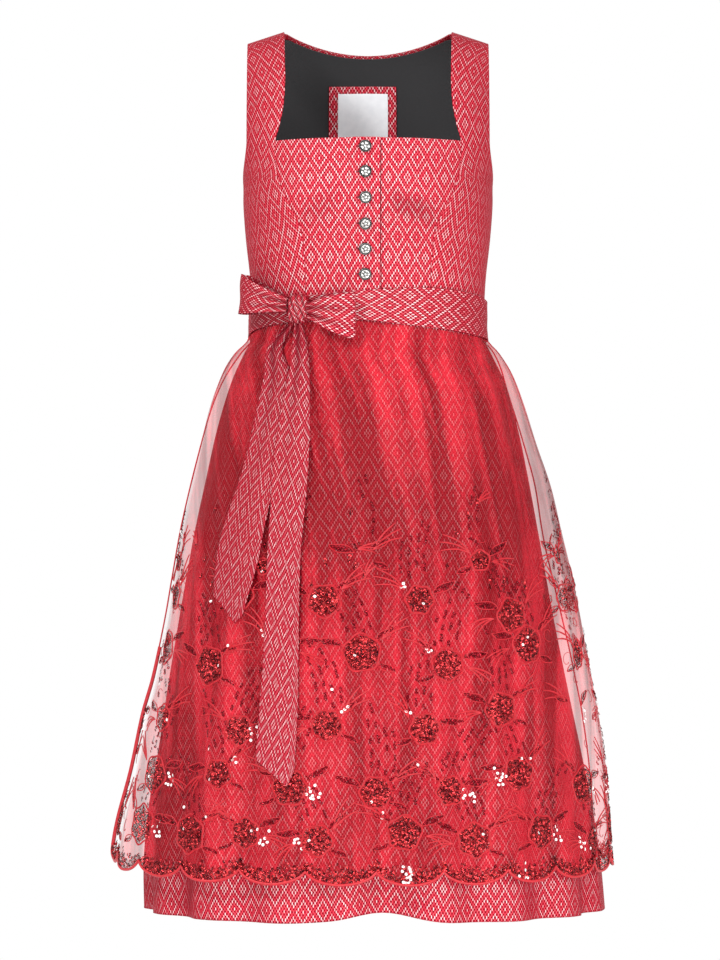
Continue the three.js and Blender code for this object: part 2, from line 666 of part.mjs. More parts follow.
// The bow's loops: a ribbon that leaves the knot, turns back on itself and returns.
const millimetresPerTurn = skirt.front(waistZ) * 1.12;
function loopGrid(rows, side) {
  const keyed = rows.map((row, i) => ({ ...row, i }));
  const path = columnsOf(keyed, ["far", "out", "z", "tall"], "i");
  const place = (t, across) => {
    const theta = knotTheta + (side * path.far(t)) / millimetresPerTurn;
    return waistRing(theta, sashFace + path.out(t)).setZ(path.z(t) + across * path.tall(t));
  };
  const steps = evenly(loopSteps.along).map((share) => share * (rows.length - 1));
  return evenly(loopSteps.across).map((down) =>
    steps.map((t) => {
      const across = 1 - 2 * down;
      const along = place(t + 0.02, across).sub(place(t - 0.02, across));
      const normal = along.cross(new THREE.Vector3(0, 0, 1)).normalize();
      return { point: place(t, across), normal: normal.multiplyScalar(side) };
    }),
  );
}
function mirrorRows(grid) {
  return grid.map((row) => [...row].reverse());
}
add("bow_loop_left", wall(loopGrid(rightLoop, 1), cloth.bow), finishes.sashCloth);
add("bow_loop_right", wall(mirrorRows(loopGrid(leftLoop, -1)), cloth.bow), finishes.sashCloth);

// The bow's tails, cut off on the slant.
function tailGrid(rows, end) {
  const edge = columnsOf(rows, ["left", "right", "off"]);
  const topZ = rows[0].z;
  return evenly(tailSteps.along).map((down) =>
    evenly(tailSteps.across).map((across) => {
      const share = across < end.tipAt ? across / end.tipAt : (across - end.tipAt) / (1 - end.tipAt);
      const foot = across < end.tipAt ? mix(end.left, end.tip, share) : mix(end.tip, end.right, share);
      const z = mix(topZ, foot, down);
      const place = (shift, level) => {
        const x = mix(edge.left(level), edge.right(level), across) + shift;
        return overApron(x, level, edge.off(level) + cloth.bow);
      };
      const normal = place(1, z).sub(place(-1, z)).cross(place(0, z).sub(place(0, z - 1))).normalize();
      return { point: place(0, z), normal };
    }),
  );
}
add("bow_tail_long", wall(tailGrid(longTail, longTailEnd), cloth.bow), finishes.sashCloth);
add("bow_tail_short", wall(tailGrid(shortTail, shortTailEnd), cloth.bow), finishes.sashCloth);

export default dirndl;
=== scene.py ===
# %% [markdown]
# # A dirndl, worn
# The dress is a hollow form of cloth that fits a general figure, so every panel follows one body shape.
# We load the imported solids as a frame, and then make each panel again as a finer sheet in the same place.

# %% Load the frame
import math
import bpy
import numpy as np
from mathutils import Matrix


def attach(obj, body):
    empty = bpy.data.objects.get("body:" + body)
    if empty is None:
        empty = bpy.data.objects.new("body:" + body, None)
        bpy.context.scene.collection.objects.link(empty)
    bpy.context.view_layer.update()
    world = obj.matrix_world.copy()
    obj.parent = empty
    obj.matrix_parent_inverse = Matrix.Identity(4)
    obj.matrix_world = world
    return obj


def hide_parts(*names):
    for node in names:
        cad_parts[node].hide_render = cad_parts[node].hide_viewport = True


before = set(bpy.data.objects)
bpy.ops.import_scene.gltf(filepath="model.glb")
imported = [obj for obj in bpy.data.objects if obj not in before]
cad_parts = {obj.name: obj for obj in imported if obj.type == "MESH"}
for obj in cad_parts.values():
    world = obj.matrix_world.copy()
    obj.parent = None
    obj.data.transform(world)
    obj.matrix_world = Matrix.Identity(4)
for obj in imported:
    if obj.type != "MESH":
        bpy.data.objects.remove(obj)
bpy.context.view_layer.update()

scene = bpy.context.scene
mm = 0.001

# %% [markdown]
# ## The shape in numbers
# A dressmaker works from measurements at certain heights. We keep the same short tables that the solids use, one row
# for each height, and run a smooth curve through each column. All sizes are in millimetres.

# %% Measurements
WAIST, UNDERARM, HEM = -340.0, -176.0, -1045.0
WAIST_WIDE, WAIST_DEEP, WAIST_POWER = 139.5, 100.5, 2.15
SHOULDER = dict(at=100, z=6.5, slope=0.32, front=150, back=110, round=2.2)
ARMHOLE_X = 145
BODICE = np.array([
    # z, half width, front, back, centre, power
    (40, 158, 96, 100, 20, 2.3), (-60, 160, 104, 106, 20, 2.3), (-120, 158.5, 113, 108, 13, 2.35),
    (-176, 150, 119, 104, 4, 2.35), (-205, 149.5, 119, 99, 1, 2.3), (-245, 146.5, 110, 94, 0, 2.25),
    (-290, 141.5, 103, 90, 0, 2.2), (-325, 139.5, 100, 88.5, 0, 2.15), (-340, 139.5, 100.5, 89, 0, 2.15)])
BUST = dict(x=84, z=-200, rise=9, wide=40, tall=38)
PRINCESS = np.array([(10, 101), (-30, 99.5), (-60, 99), (-90, 101), (-115, 106), (-131, 110.5), (-162, 109),
                     (-190, 102), (-214, 90), (-236, 80), (-275, 75.5), (-340, 74)])
BACK_SEAM = np.array([(-115, 143), (-128, 128), (-150, 110), (-185, 90), (-230, 72), (-290, 57), (-340, 50)])
SKIRT = np.array([
    # z, right half, left half, front, back, power
    (-340, 139.5, 139.5, 100.5, 89, 2.15), (-366, 141, 141, 103, 93, 2.15), (-380, 148, 147, 107.5, 101, 2.12),
    (-413, 163, 163, 121, 118, 2.1), (-468, 180, 179, 137.5, 138, 2.1), (-530, 194, 192, 153, 156, 2.1),
    (-600, 209, 205, 169, 173, 2.1), (-690, 225, 221, 189, 195, 2.1), (-780, 240, 239, 206, 214, 2.1),
    (-860, 252, 256, 222, 230, 2.1), (-930, 264, 270, 234, 242, 2.1), (-991, 269, 279, 241, 250, 2.1),
    (-1045, 268.5, 284, 246, 256, 2.1)])
APRON = np.array([
    # z, right half, left half, front
    (-335, 141.7, 141.7, 102.6), (-352, 142.2, 142.2, 104), (-366, 144.5, 144, 107.5), (-380, 158, 156, 114),
    (-405, 173, 171, 125), (-442, 187, 185, 138.5), (-490, 199, 200, 151.5), (-541, 211, 217, 164.5),
    (-593, 222, 229, 177), (-653, 232, 243, 190), (-701, 240, 252, 200), (-769, 254, 264, 213),
    (-812, 266, 272, 221), (-880, 280, 281, 234), (-947, 297, 285, 246), (-1010, 306, 289, 254)])
APRON_EDGES = np.array([(-335, -96, 98), (-380, -108, 106), (-420, -104, 112), (-490, -97, 112),
                        (-620, -92, 116), (-760, -91, 112), (-900, -91, 111), (-1010, -91, 110)])
SASH = np.array([
    # angle round the waist, top, bottom
    (-180, -318, -368), (-120, -318, -368), (-90, -319, -362), (-62, -317, -352), (-38, -317, -346),
    (-8, -310, -343.5), (14, -307, -348), (36, -306, -354), (62, -313, -361), (90, -320, -366),
    (120, -319, -368), (180, -318, -368)])
print("heights from", BODICE[0, 0], "to", HEM)

# %% A smooth curve through a table's column
def curve(table, column=1):
    """Returns a function that reads the column at any value of the table's first column."""
    rising = 1.0 if table[0, 0] < table[-1, 0] else -1.0
    at, value = rising * table[:, 0], table[:, column]
    last = len(at) - 1
    before = np.maximum(np.arange(last + 1) - 1, 0)
    after = np.minimum(np.arange(last + 1) + 1, last)
    slope = (value[after] - value[before]) / (at[after] - at[before])

    def read(where):
        t = np.clip(rising * np.asarray(where, float), at[0], at[-1])
        i = np.clip(np.searchsorted(at, t, side="left") - 1, 0, last - 1)
        step = at[i + 1] - at[i]
        s = (t - at[i]) / step
        ends = value[i] + (value[i + 1] - value[i]) * s * s * (3 - 2 * s)
        return ends + step * s * (1 - s) * (slope[i] * (1 - s) - slope[i + 1] * s)

    return read


def mix(a, b, t):
    return a + (b - a) * t


def ease(t):
    t = np.clip(t, 0, 1)
    return t * t * (3 - 2 * t)


half, front, back, centre, power = (curve(BODICE, k) for k in range(1, 6))
princess_x, back_seam_x = curve(PRINCESS), curve(BACK_SEAM)
skirt_right, skirt_left, skirt_front, skirt_back, skirt_power = (curve(SKIRT, k) for k in range(1, 6))
apron_right, apron_left, apron_front = (curve(APRON, k) for k in range(1, 4))
sash_top, sash_bottom = curve(SASH, 1), curve(SASH, 2)
print("half waist", float(half(WAIST)), "mm")

# %% [markdown]
# ## The body of the dress
# A level section through a bodice is a rounded oval that is a little square. Its radius at each angle comes from a
# superellipse. Near the shoulders the front and the back roll over to meet on the shoulder line, and two soft swells
# give the front the fullness that the darts shape.

# %% Section shapes
def outline(theta, n):
    s, c = np.sin(theta), np.cos(theta)
    r = (np.abs(s) ** n + np.abs(c) ** n) ** (-1 / n)
    return r * s, r * c


def share_forward(side, n):
    return np.maximum(0, 1 - np.abs(side) ** n) ** (1 / n)


def front_theta(side, n):
    side = np.clip(side, -1, 1)
    return np.arctan2(side, share_forward(side, n))


def ridge(x):
    return SHOULDER["z"] - SHOULDER["slope"] * (np.abs(x) - SHOULDER["at"])


def bodice_point(theta, z):
    side, forward = outline(theta, power(z))
    x = half(z) * side
    is_front = forward > 0
    depth = np.where(is_front, front(z) + centre(z), back(z) - centre(z))
    fall = np.where(is_front, SHOULDER["front"], SHOULDER["back"])
    below = np.clip((ridge(x) - z) / fall, 0, 1)
    roll = (1 - (1 - below) ** SHOULDER["round"]) ** (1 / SHOULDER["round"])
    spread = ((np.abs(x) - BUST["x"]) / BUST["wide"]) ** 2 + ((z - BUST["z"]) / BUST["tall"]) ** 2
    rise = np.where(is_front, BUST["rise"] * np.exp(-spread / 2), 0)
    y = centre(z) - forward * (depth * roll + rise) + np.where(is_front, -0.03, 0.03)
    return np.stack([x, y, z + 0 * x], -1)


# Valleys of the skirt's soft folds: angle, width and depth at the hem.
FRONT_FOLDS = [(-78, 9, 12), (-56, 10, 14), (-33, 10, 10), (-14, 8, 8), (5, 12, 24), (27, 9, 12), (47, 10, 14),
               (68, 9, 13)]
BACK_FOLDS = [(98 + 164 * i / 12, 6.2, 19 + 5 * math.sin(i * 2.4)) for i in range(13)]


def skirt_ring(theta, z, grow):
    side, forward = outline(theta, skirt_power(z))
    x = side * (np.where(side < 0, skirt_right(z), skirt_left(z)) + grow)
    y = -forward * (np.where(forward > 0, skirt_front(z), skirt_back(z)) + grow)
    return np.stack([x, y, z + 0 * x], -1)


def fold_depth(theta, z):
    down = np.clip((WAIST - z) / (WAIST - HEM), 0, 1)
    depth = 0 * theta
    for at, wide, deep in FRONT_FOLDS + BACK_FOLDS:
        away = np.abs((np.degrees(theta) - at + 540) % 360 - 180) / wide
        depth = depth + np.where(away < 1, deep * (0.5 + 0.5 * np.cos(np.pi * away)), 0)
    return depth * (0.05 * ease(down * 12) + 0.95 * down ** 1.15)


def skirt_point(theta, z):
    return skirt_ring(theta, z, -fold_depth(theta, z))


def waist_face(theta, z, out):
    """The smooth face of the waist under the sash, this far out, with room for the lap of the closure."""
    n = np.where(z > WAIST, power(z), skirt_power(z))
    wide = np.where(z > WAIST, half(z), skirt_left(z))
    fore = np.where(z > WAIST, front(z), skirt_front(z))
    rear = np.where(z > WAIST, back(z), skirt_back(z))
    side, forward = outline(theta, n)
    plain = side * wide
    lap = np.where(forward > 0, 2.4 * ease((plain + 42) / 16) * ease((34 - plain) / 16), 0)
    x = side * (wide + out + lap)
    y = -forward * (np.where(forward > 0, fore, rear) + out + lap)
    return np.stack([x, y, z + 0 * x], -1)


def unit(vectors):
    return vectors / np.linalg.norm(vectors, axis=-1, keepdims=True)


def normals_of(surface, theta, z):
    across = surface(theta + 0.002, z) - surface(theta - 0.002, z)
    up = surface(theta, z) - surface(theta, z - 0.4)
    return unit(np.cross(across, up))


print("bust depth", round(float(-bodice_point(np.array(0.5), np.array(-200.0))[1]), 1), "mm in front")

# %% [markdown]
# ## Shader maths as plain expressions
# A woven pattern is arithmetic on the cloth's own coordinates. One small class wraps a socket, so that an expression
# such as `1 - mask` adds the Math nodes it needs, and one method makes every other kind of node.

# %% The expression class
def math_node(operation, last=False):
    """A method that adds one Math node, with the wire as its first value, or as its last."""
    def method(self, *others):
        values = (*others, self) if last else (self, *others)
        return self.shader.node("ShaderNodeMath", dict(operation=operation), *values)
    return method


class Wire:
    """A socket that takes part in plain expressions."""

    def __init__(self, shader, socket):
        self.shader, self.socket = shader, socket

    __add__ = __radd__ = math_node("ADD")
    __mul__ = __rmul__ = math_node("MULTIPLY")
    __sub__, __rsub__ = math_node("SUBTRACT"), math_node("SUBTRACT", last=True)
    __truediv__, __abs__ = math_node("DIVIDE"), math_node("ABSOLUTE")
    floor, part, wave = math_node("FLOOR"), math_node("FRACT"), math_node("SINE")
    under, most, least = math_node("LESS_THAN"), math_node("MAXIMUM"), math_node("MINIMUM")
    power = math_node("POWER")

    def clip(self):
        return self.most(0.0).least(1.0)


class Shader:
    """A material and its nodes."""

    def __init__(self, name):
        self.material = bpy.data.materials.new(name)
        self.material.use_nodes = True
        self.tree = self.material.node_tree
        self.surface = self.tree.nodes["Principled BSDF"]

    def feed(self, socket, value):
        if isinstance(value, Wire):
            self.tree.links.new(value.socket, socket)
        else:
            socket.default_value = value

    def node(self, kind, settings=None, *values, out=0, **named):
        made = self.tree.nodes.new(kind)
        for key, value in (settings or {}).items():
            setattr(made, key, value)
        for key, value in list(enumerate(values)) + list(named.items()):
            self.feed(made.inputs[key.replace("_", " ") if isinstance(key, str) else key], value)
        return Wire(self, made.outputs[out])

    def set(self, **values):
        for key, value in values.items():
            self.feed(self.surface.inputs[key.replace("_", " ")], value)

    def mix(self, factor, a, b):
        made = self.tree.nodes.new("ShaderNodeMix")
        made.data_type = "RGBA"
        for index, value in ((0, factor), (6, a), (7, b)):
            self.feed(made.inputs[index], value)
        return Wire(self, made.outputs[2])

    def axes(self, vector):
        return [self.node("ShaderNodeSeparateXYZ", None, vector, out=k) for k in range(3)]

    def place(self, out=3):
        """Where a point is on the object, or with out=1 the way the cloth faces there."""
        return self.node("ShaderNodeTexCoord", out=out)

    def cloth_place(self):
        """The cloth's own coordinates in millimetres: across and along."""
        return self.axes(self.node("ShaderNodeUVMap", dict(uv_map="cloth")))[:2]

    def attribute(self, name):
        return self.node("ShaderNodeAttribute", dict(attribute_name=name), out=2)

    def noise(self, scale, detail=2.0):
        return self.node("ShaderNodeTexNoise", Vector=self.place(), Scale=scale, Detail=detail)

    def bump(self, height, strength, distance):
        return self.node("ShaderNodeBump", Strength=strength, Distance=distance, Height=height)


def srgb(r, g, b):
    """A colour given as it looks on a screen, 0 to 255."""
    lin = [c / 255 / 12.92 if c < 10.3 else ((c / 255 + 0.055) / 1.055) ** 2.4 for c in (r, g, b)]
    return (*lin, 1.0)


print("a crimson of", [round(c, 3) for c in srgb(186, 38, 56)])

# %% [markdown]
# ## The dress cloth
# A jacquard is woven with floats: short upright threads that pass over the ground and catch the light. They sit on
# a brick grid, twelve columns and sixteen half rows to a repeat. Counting columns and half rows from the nearest
# middle gives one number, the same all along a slanted line. Every second line of floats is left out, and nested
# diamonds remain.

# %% Jacquard
REPEAT = dict(wide=23.0, tall=48.6, columns=12, rows=16)


def bust_shade(s):
    """Soft shadow in the slack cloth below the bust: a streak on either side of the buttons."""
    x, y, z = s.axes(s.place())
    shade = None
    for side, start, end, strength in ((1, 0.018, 0.086, 0.75), (-1, 0.030, 0.084, 0.4)):
        along = (x * side - start) / (end - start)
        window = (along * 4).clip() * ((1 - along) * 3).clip()
        below = (z + 0.197 + along * 0.029 + (along * 7).wave() * 0.002) / 0.018
        streak = window * (1 - below * below).most(0.0) * strength
        shade = streak if shade is None else shade.most(streak)
    return shade * y.under(0.0)


def jacquard(name, wide=REPEAT["wide"], tall=REPEAT["tall"], deep=0.0, strong=1.0):
    """The weave, with its repeat's size, how much painted shade darkens its ground, and how strongly the floats show.
    """
    s = Shader(name)
    u, v = s.cloth_place()
    waver = (s.noise(15.0, 1.0) - 0.5) * 5
    u, v = u + waver, v + waver * 1.4
    columns, rows = REPEAT["columns"], REPEAT["rows"]
    step = u / wide * columns + 0.5
    column = step.floor()
    odd = (column * 0.5).part() * 2
    high = v / tall * rows
    row = ((high - odd) * 0.5 + 0.5).floor() * 2 + odd
    i = abs((column / columns + 0.5).part() * columns - columns / 2)
    j = abs((row / rows + 0.5).part() * rows - rows / 2)
    line = abs(((i + j) * 0.25).part() * 4 - 2).under(0.5)
    middle = (i + j).under(0.5) * 0.7
    chance = s.node("ShaderNodeTexWhiteNoise", Vector=s.node("ShaderNodeCombineXYZ", X=column, Y=row))
    shown = line.most(middle).most(0.15) * (0.62 + chance * 0.62) * strong
    sideways_step = (step.part() - 0.5) / 0.38
    upright = (high - row) / 0.7
    inside = (1.0 - sideways_step * sideways_step - upright * upright) * 2.6
    floats = inside.clip() * shown
    gap = (1 - inside * 0.5 - 0.9).clip()
    # Painted light: where the cloth faces front or back rather than sideways, its floats are painted paler as a
    # painted sheen and its ground brighter; turned to the side, both are painted darker.
    sideways = abs(s.axes(s.place(out=1))[1])
    worn = s.noise(190.0)
    facing = sideways.power(1.9).least(1.0)
    float_sheen = s.mix(facing * (0.5 + worn), srgb(196, 50, 72), srgb(230, 198, 199))
    ground = s.mix(facing, srgb(160, 4, 28), srgb(208, 10, 48))
    ground = s.mix(gap * (0.5 + worn * 0.7), ground, srgb(96, 0, 16))
    # Painted shade: the sash's and the tails' copies of the cloth get a darker ground.
    ground = s.mix(deep, ground, srgb(84, 0, 14))
    colour = s.mix(floats, ground, float_sheen)
    # Painted shade: the shadow below the bust and the shade at the bottoms of creases darken the colour.
    painted_shade = (bust_shade(s) * 0.5 + s.attribute("hollow") * 0.75).least(1.0)
    colour = s.mix(painted_shade, colour, srgb(84, 0, 14))
    rib = (v * 7.0).wave() * 0.5 + (u * 9.0).wave() * 0.3
    relief = floats + rib * 0.2 + s.noise(13.0, 1.0) * 8
    s.set(Base_Color=colour, Roughness=0.6 - floats * 0.2, Normal=s.bump(relief, 0.6, 0.0005),
          Specular_IOR_Level=0.08)
    return s.material


dress_cloth = jacquard("dress_jacquard")
# The sash and the tails are the dress cloth again; their darker ground, and the tails' weaker floats, are painted
# shade.
sash_cloth = jacquard("sash_jacquard", deep=0.2)
tail_cloth = jacquard("tail_jacquard", wide=19.0, deep=0.36, strong=0.64)
print("the repeat is", REPEAT["wide"], "by", REPEAT["tall"], "mm")

# %% [markdown]
# ## Organza, lining, thread and metal
# Organza is so thin that much of what lies behind it shows. It hides a little less low down, and least near the
# apron's free side edges, where no skirt lies behind it. Its folds show as streaks that run down the cloth, as bumps
# and as painted light and shade in its colour, and a band of painted shadow darkens its middle.

# %% Organza
def organza(name, cover, dark, bright):
    s = Shader(name)
    u, v = s.cloth_place()
    weave = ((u * 5.0).wave() + (v * 5.6).wave()) * 0.02
    slub = s.noise(38.0, 4.0)
    streaks = s.node("ShaderNodeCombineXYZ", X=u / 27.0, Y=v / 400.0)
    folds = s.node("ShaderNodeTexNoise", Vector=streaks, Scale=1.0, Detail=3.0)
    folds = ((folds - 0.5) * 4.0 + 0.5).clip()
    fibres = s.noise(330.0)
    shadow = (1 - abs((v + 235) / 170)).most(0.0) * 0.6
    lower = ((v + 380) / -160).clip() * 0.11
    # Painted light and shade: the fold streaks brighten and darken the colour, and the shadow band darkens the middle.
    tone = folds * 0.85 + slub * 0.5 + fibres * 0.7 - 0.57 - shadow
    thin = (slub - 0.5) * 0.14 - (folds - 0.5) * 0.14 - s.attribute("free") * 0.51 - lower
    s.set(Base_Color=s.mix(tone.clip(), dark, bright), Roughness=0.42 + slub * 0.1, Alpha=weave + thin + cover,
          Normal=s.bump(folds * 10 + weave * 8 + slub * 0.8, 0.7, 0.0009), Specular_IOR_Level=0.12)
    return s.material


COVER = 0.60
sheer = organza("apron_organza", COVER, (0.24, 0.001, 0.006, 1.0), (0.86, 0.028, 0.050, 1.0))
print("before its folds the organza hides", COVER, "of what is behind it")


# %% Plain finishes
def plain(name, colour, other, rough, scale=60.0, **more):
    s = Shader(name)
    grain = s.noise(scale, 4.0)
    s.set(Base_Color=s.mix(grain, colour, other), Roughness=rough - 0.05 + grain * 0.1,
          Normal=s.bump(grain, 0.2, 0.0004), **more)
    return s.material


black_lining = plain("black_lining", srgb(23, 23, 25), srgb(36, 36, 38), 0.85, 300.0, Sheen_Weight=0.1)
satin_thread = plain("satin_thread", srgb(140, 2, 18), srgb(206, 16, 36), 0.45, 400.0)
dark_thread = plain("dark_thread", srgb(96, 6, 22), srgb(130, 16, 34), 0.6, 400.0)
sequin_dark = plain("sequin_dark", srgb(60, 0, 8), srgb(140, 4, 24), 0.16, 900.0, Metallic=0.85)
# Pale sequins for painted glints: white highlights on the red sequins.
sequin_pale = plain("sequin_pale", srgb(226, 216, 214), srgb(255, 250, 248), 0.15, 900.0)
label_satin = plain("label_satin", srgb(214, 218, 222), srgb(236, 238, 240), 0.45, 120.0, Sheen_Weight=0.3)


def foil(name):
    """Red foil whose colour runs from nearly black to bright red from one sequin to the next: painted highlights and
    shade.
    """
    s = Shader(name)
    # Painted highlights and shade: noise sets how bright each sequin is.
    tone = (s.noise(320.0, 1.0) - 0.5) * 3.2 + (s.noise(900.0) - 0.5) * 1.2 + 0.32
    s.set(Base_Color=s.mix(tone.clip(), srgb(52, 0, 6), srgb(226, 62, 66)), Roughness=0.18, Metallic=0.85)
    return s.material


def old_silver(name):
    s = Shader(name)
    wear = s.noise(420.0, 3.0)
    # The marked places darken: tarnish in the rosette's hollows, painted shade at the rim and on the underside.
    s.set(Base_Color=s.mix(s.attribute("hollow"), srgb(206, 206, 203), srgb(18, 17, 17)), Roughness=0.24 + wear * 0.14,
          Metallic=1.0, Normal=s.bump(wear, 0.1, 0.0002))
    return s.material


sequin_red = foil("sequin_red")
silver = old_silver("old_silver")
print(len(bpy.data.materials), "materials so far")

# %% [markdown]
# ## From a grid of points to a piece of cloth
# Every panel is a grid: rows from top to bottom and columns from edge to edge. Moved in along the normals it gives
# the inside, and a strip joins the two all round. The cloth's own coordinates are kept in millimetres, so the weave
# keeps its size. A small bevel rounds the cut edges.

# %% Walls of cloth
def uv_of(points, turn=0.0, shift=(0.0, 0.0), lengthwise=False):
    """Distance along each row from the middle column, and height, turned to the grain of the piece."""
    step = np.linalg.norm(np.diff(points, axis=1), axis=2)
    across = np.concatenate([np.zeros((len(points), 1)), np.cumsum(step, 1)], 1)
    across = across - across[:, [points.shape[1] // 2]]
    drop = np.linalg.norm(np.diff(points, axis=0), axis=2).mean(1)
    down = np.concatenate([[0], -np.cumsum(drop)])[:, None] + 0 * across
    if lengthwise:
        across, down = down, across
    c, s = math.cos(turn), math.sin(turn)
    return np.stack([across * c - down * s + shift[0], across * s + down * c + shift[1]], 2)


def area_of(points):
    a = np.cross(points[1:, 1:] - points[:-1, :-1], points[:-1, 1:] - points[1:, :-1])
    return float(np.linalg.norm(a, axis=2).sum() / 2)


def build_mesh(name, vertices, faces, uv, material):
    mesh = bpy.data.meshes.new(name)
    mesh.from_pydata((vertices * mm).tolist(), [], faces.tolist() if hasattr(faces, "tolist") else faces)
    if uv is not None:
        corners = np.empty(len(mesh.loops), int)
        mesh.loops.foreach_get("vertex_index", corners)
        mesh.uv_layers.new(name="cloth").data.foreach_set("uv", uv[corners].ravel())
    mesh.materials.append(material)
    mesh.shade_smooth()
    mesh.update()
    piece = bpy.data.objects.new(name, mesh)
    scene.collection.objects.link(piece)
    return piece


def mark(piece, name, values):
    """Keeps a number from 0 to 1 at each point, which a material reads."""
    piece.data.attributes.new(name, "FLOAT", "POINT").data.foreach_set("value", np.ravel(values))


def capped_rings(rows, columns):
    """Faces between closed rings of points, with a flat cap at each end."""
    at = np.arange(rows * columns).reshape(rows, columns)
    a, b = at[:-1], at[1:]
    faces = np.stack([a, b, np.roll(b, -1, 1), np.roll(a, -1, 1)], -1).reshape(-1, 4).tolist()
    return faces + [at[0].tolist(), at[-1][::-1].tolist()]


def grid_faces(rows, columns, start=0, flip=False):
    at = start + np.arange(rows * columns).reshape(rows, columns)
    a, b, c, d = at[:-1, :-1].ravel(), at[1:, :-1].ravel(), at[1:, 1:].ravel(), at[:-1, 1:].ravel()
    return np.stack([a, d, c, b] if flip else [a, b, c, d], 1)


def sheet_piece(name, points, uv, material):
    """A single layer, for cloth that light goes through."""
    rows, columns = points.shape[:2]
    return build_mesh(name, points.reshape(-1, 3), grid_faces(rows, columns), uv.reshape(-1, 2), material)


def wall_piece(name, points, normals, thick, uv, material, edge=0.45, hollow=None):
    """A wall of cloth. The last argument, from 0 to 1 at each point, is painted shade at the bottoms of its creases.
    """
    rows, columns = points.shape[:2]
    count = rows * columns
    both = np.concatenate([points.reshape(-1, 3), (points - normals * thick).reshape(-1, 3)])
    at = np.arange(count).reshape(rows, columns)
    loop = np.concatenate([at[0, :-1], at[:-1, -1], at[-1, :0:-1], at[:0:-1, 0]])
    after = np.roll(loop, -1)
    rim = np.stack([loop, after, after + count, loop + count], 1)
    faces = np.concatenate([grid_faces(rows, columns), grid_faces(rows, columns, count, True), rim])
    piece = build_mesh(name, both, faces, np.concatenate([uv.reshape(-1, 2)] * 2), material)
    if hollow is not None:
        mark(piece, "hollow", np.tile(np.broadcast_to(hollow, (rows, columns)).ravel(), 2))
    if edge:
        bevel = piece.modifiers.new("edge", "BEVEL")
        bevel.width, bevel.segments, bevel.limit_method, bevel.angle_limit = edge * mm, 2, "ANGLE", 1.0
        bake(piece)
    return piece


def bake(piece):
    """Turns what the modifiers make into a plain mesh."""
    made = piece.evaluated_get(bpy.context.evaluated_depsgraph_get())
    mesh = bpy.data.meshes.new_from_object(made)
    old = piece.data
    piece.modifiers.clear()
    piece.data = mesh
    if old.users == 0:
        bpy.data.meshes.remove(old)
    mesh.name = piece.name
    return piece


cut_list = []


def settle(piece, nodes, points=None):
    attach(piece, "root")
    if nodes:
        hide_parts(*nodes)
    if points is not None:
        wide = np.linalg.norm(np.diff(points, axis=1), axis=2).sum(1).max() * mm
        long = np.linalg.norm(np.diff(points, axis=0), axis=2).sum(0).max() * mm
        area = min(area_of(points) * mm * mm, wide * long)
        cut_list.append((piece.name, round(wide, 3), round(long, 3), round(area, 4)))


def cloth(name, grid, uv, material, slot, rests, held="draped", thick=2.0, edge=0.45, hollow=None):
    """A wall of cloth in place of the solid of the same name. Grid holds its points and normals."""
    piece = wall_piece("cloth_" + name, *grid, thick, uv, material, edge, hollow)
    settle(piece, [name], grid[0])


print("walls get a rounded edge of 0.45 mm")

# %% [markdown]
# ## Panels of the bodice
# The pattern pieces are cut by seams: the princess seam runs from the neckline's corner over the bust to the waist.
# A panel takes its two edge lines and a list of rows. Each row may follow the shoulder, the neckline or a level.

# %% Panel helper
def panel(surface, lines, columns, rows, inset=0.0, lift=None):
    """Points and normals between edge lines: columns gives the steps from each line to the next."""
    points, normals = [], []
    for row in rows:
        thetas = []
        for line in lines:
            theta = line(row(0.0))
            for _ in range(8):
                theta = line(row(surface(np.array(theta), np.array(row(0.0)))[0]))
            thetas.append(float(theta))
        stations = np.concatenate([np.linspace(thetas[k], thetas[k + 1], n, endpoint=False)
                                   for k, n in enumerate(columns)] + [[thetas[-1]]])
        z = np.full(len(stations), float(row(0.0)))
        for _ in range(6):
            z = row(surface(stations, z)[:, 0]) + 0 * z
        normal = normals_of(surface, stations, z)
        point = surface(stations, z)
        out = (lift(point[:, 0]) if lift else 0) - inset
        points.append(point + normal * (out[:, None] if np.ndim(out) else out))
        normals.append(normal)
    return np.array(points), np.array(normals)


STRAP_FOOT, NECK_CORNER = -108.0, -131.5
ROWS_BELOW = 44


def straight(value):
    """A level row or an upright edge at one value."""
    return lambda along: value + 0 * along


def rows_from(top, foot=STRAP_FOOT):
    shares = np.concatenate([[0, 0.004, 0.012, 0.025, 0.05, 0.08], np.linspace(0.12, 1, 22)])
    strap = [lambda x, t=t: mix(top(x), foot, t) for t in shares]
    return strap + [straight(z) for z in np.linspace(foot, WAIST, 48)[1:]]


def rows_below(top):
    return [straight(z) for z in np.linspace(top, WAIST, ROWS_BELOW)[1:]]


def armhole(z):
    foot = ease((z + 128) / (UNDERARM + 128))
    return np.where(z > UNDERARM, mix(ARMHOLE_X, half(UNDERARM), foot), half(z))


def at_front(x_of):
    return lambda z: front_theta(x_of(z) / half(z), power(z))


def at_back(x_of):
    return lambda z: np.pi - front_theta(x_of(z) / half(z), power(z))


def front_neck(x):
    return -129 - 2 * (x / 100) ** 2


def lap(x):
    return 2.4 * ease((x + 26) / 11)


def side_panel(name, side, at, seam, order, steps, rows, turn, shift=(0.0, 0.0)):
    lines = [at(lambda z: side * (seam(z) + gap)), at(lambda z: side * armhole(z))]
    grid = panel(bodice_point, lines[::order], [steps], rows)
    cloth(name, grid, uv_of(grid[0], turn, shift), dress_cloth, "dress_cloth", ["bodice_centre_back"])


gap = 0.02
print("seams are", 2 * gap, "mm apart")

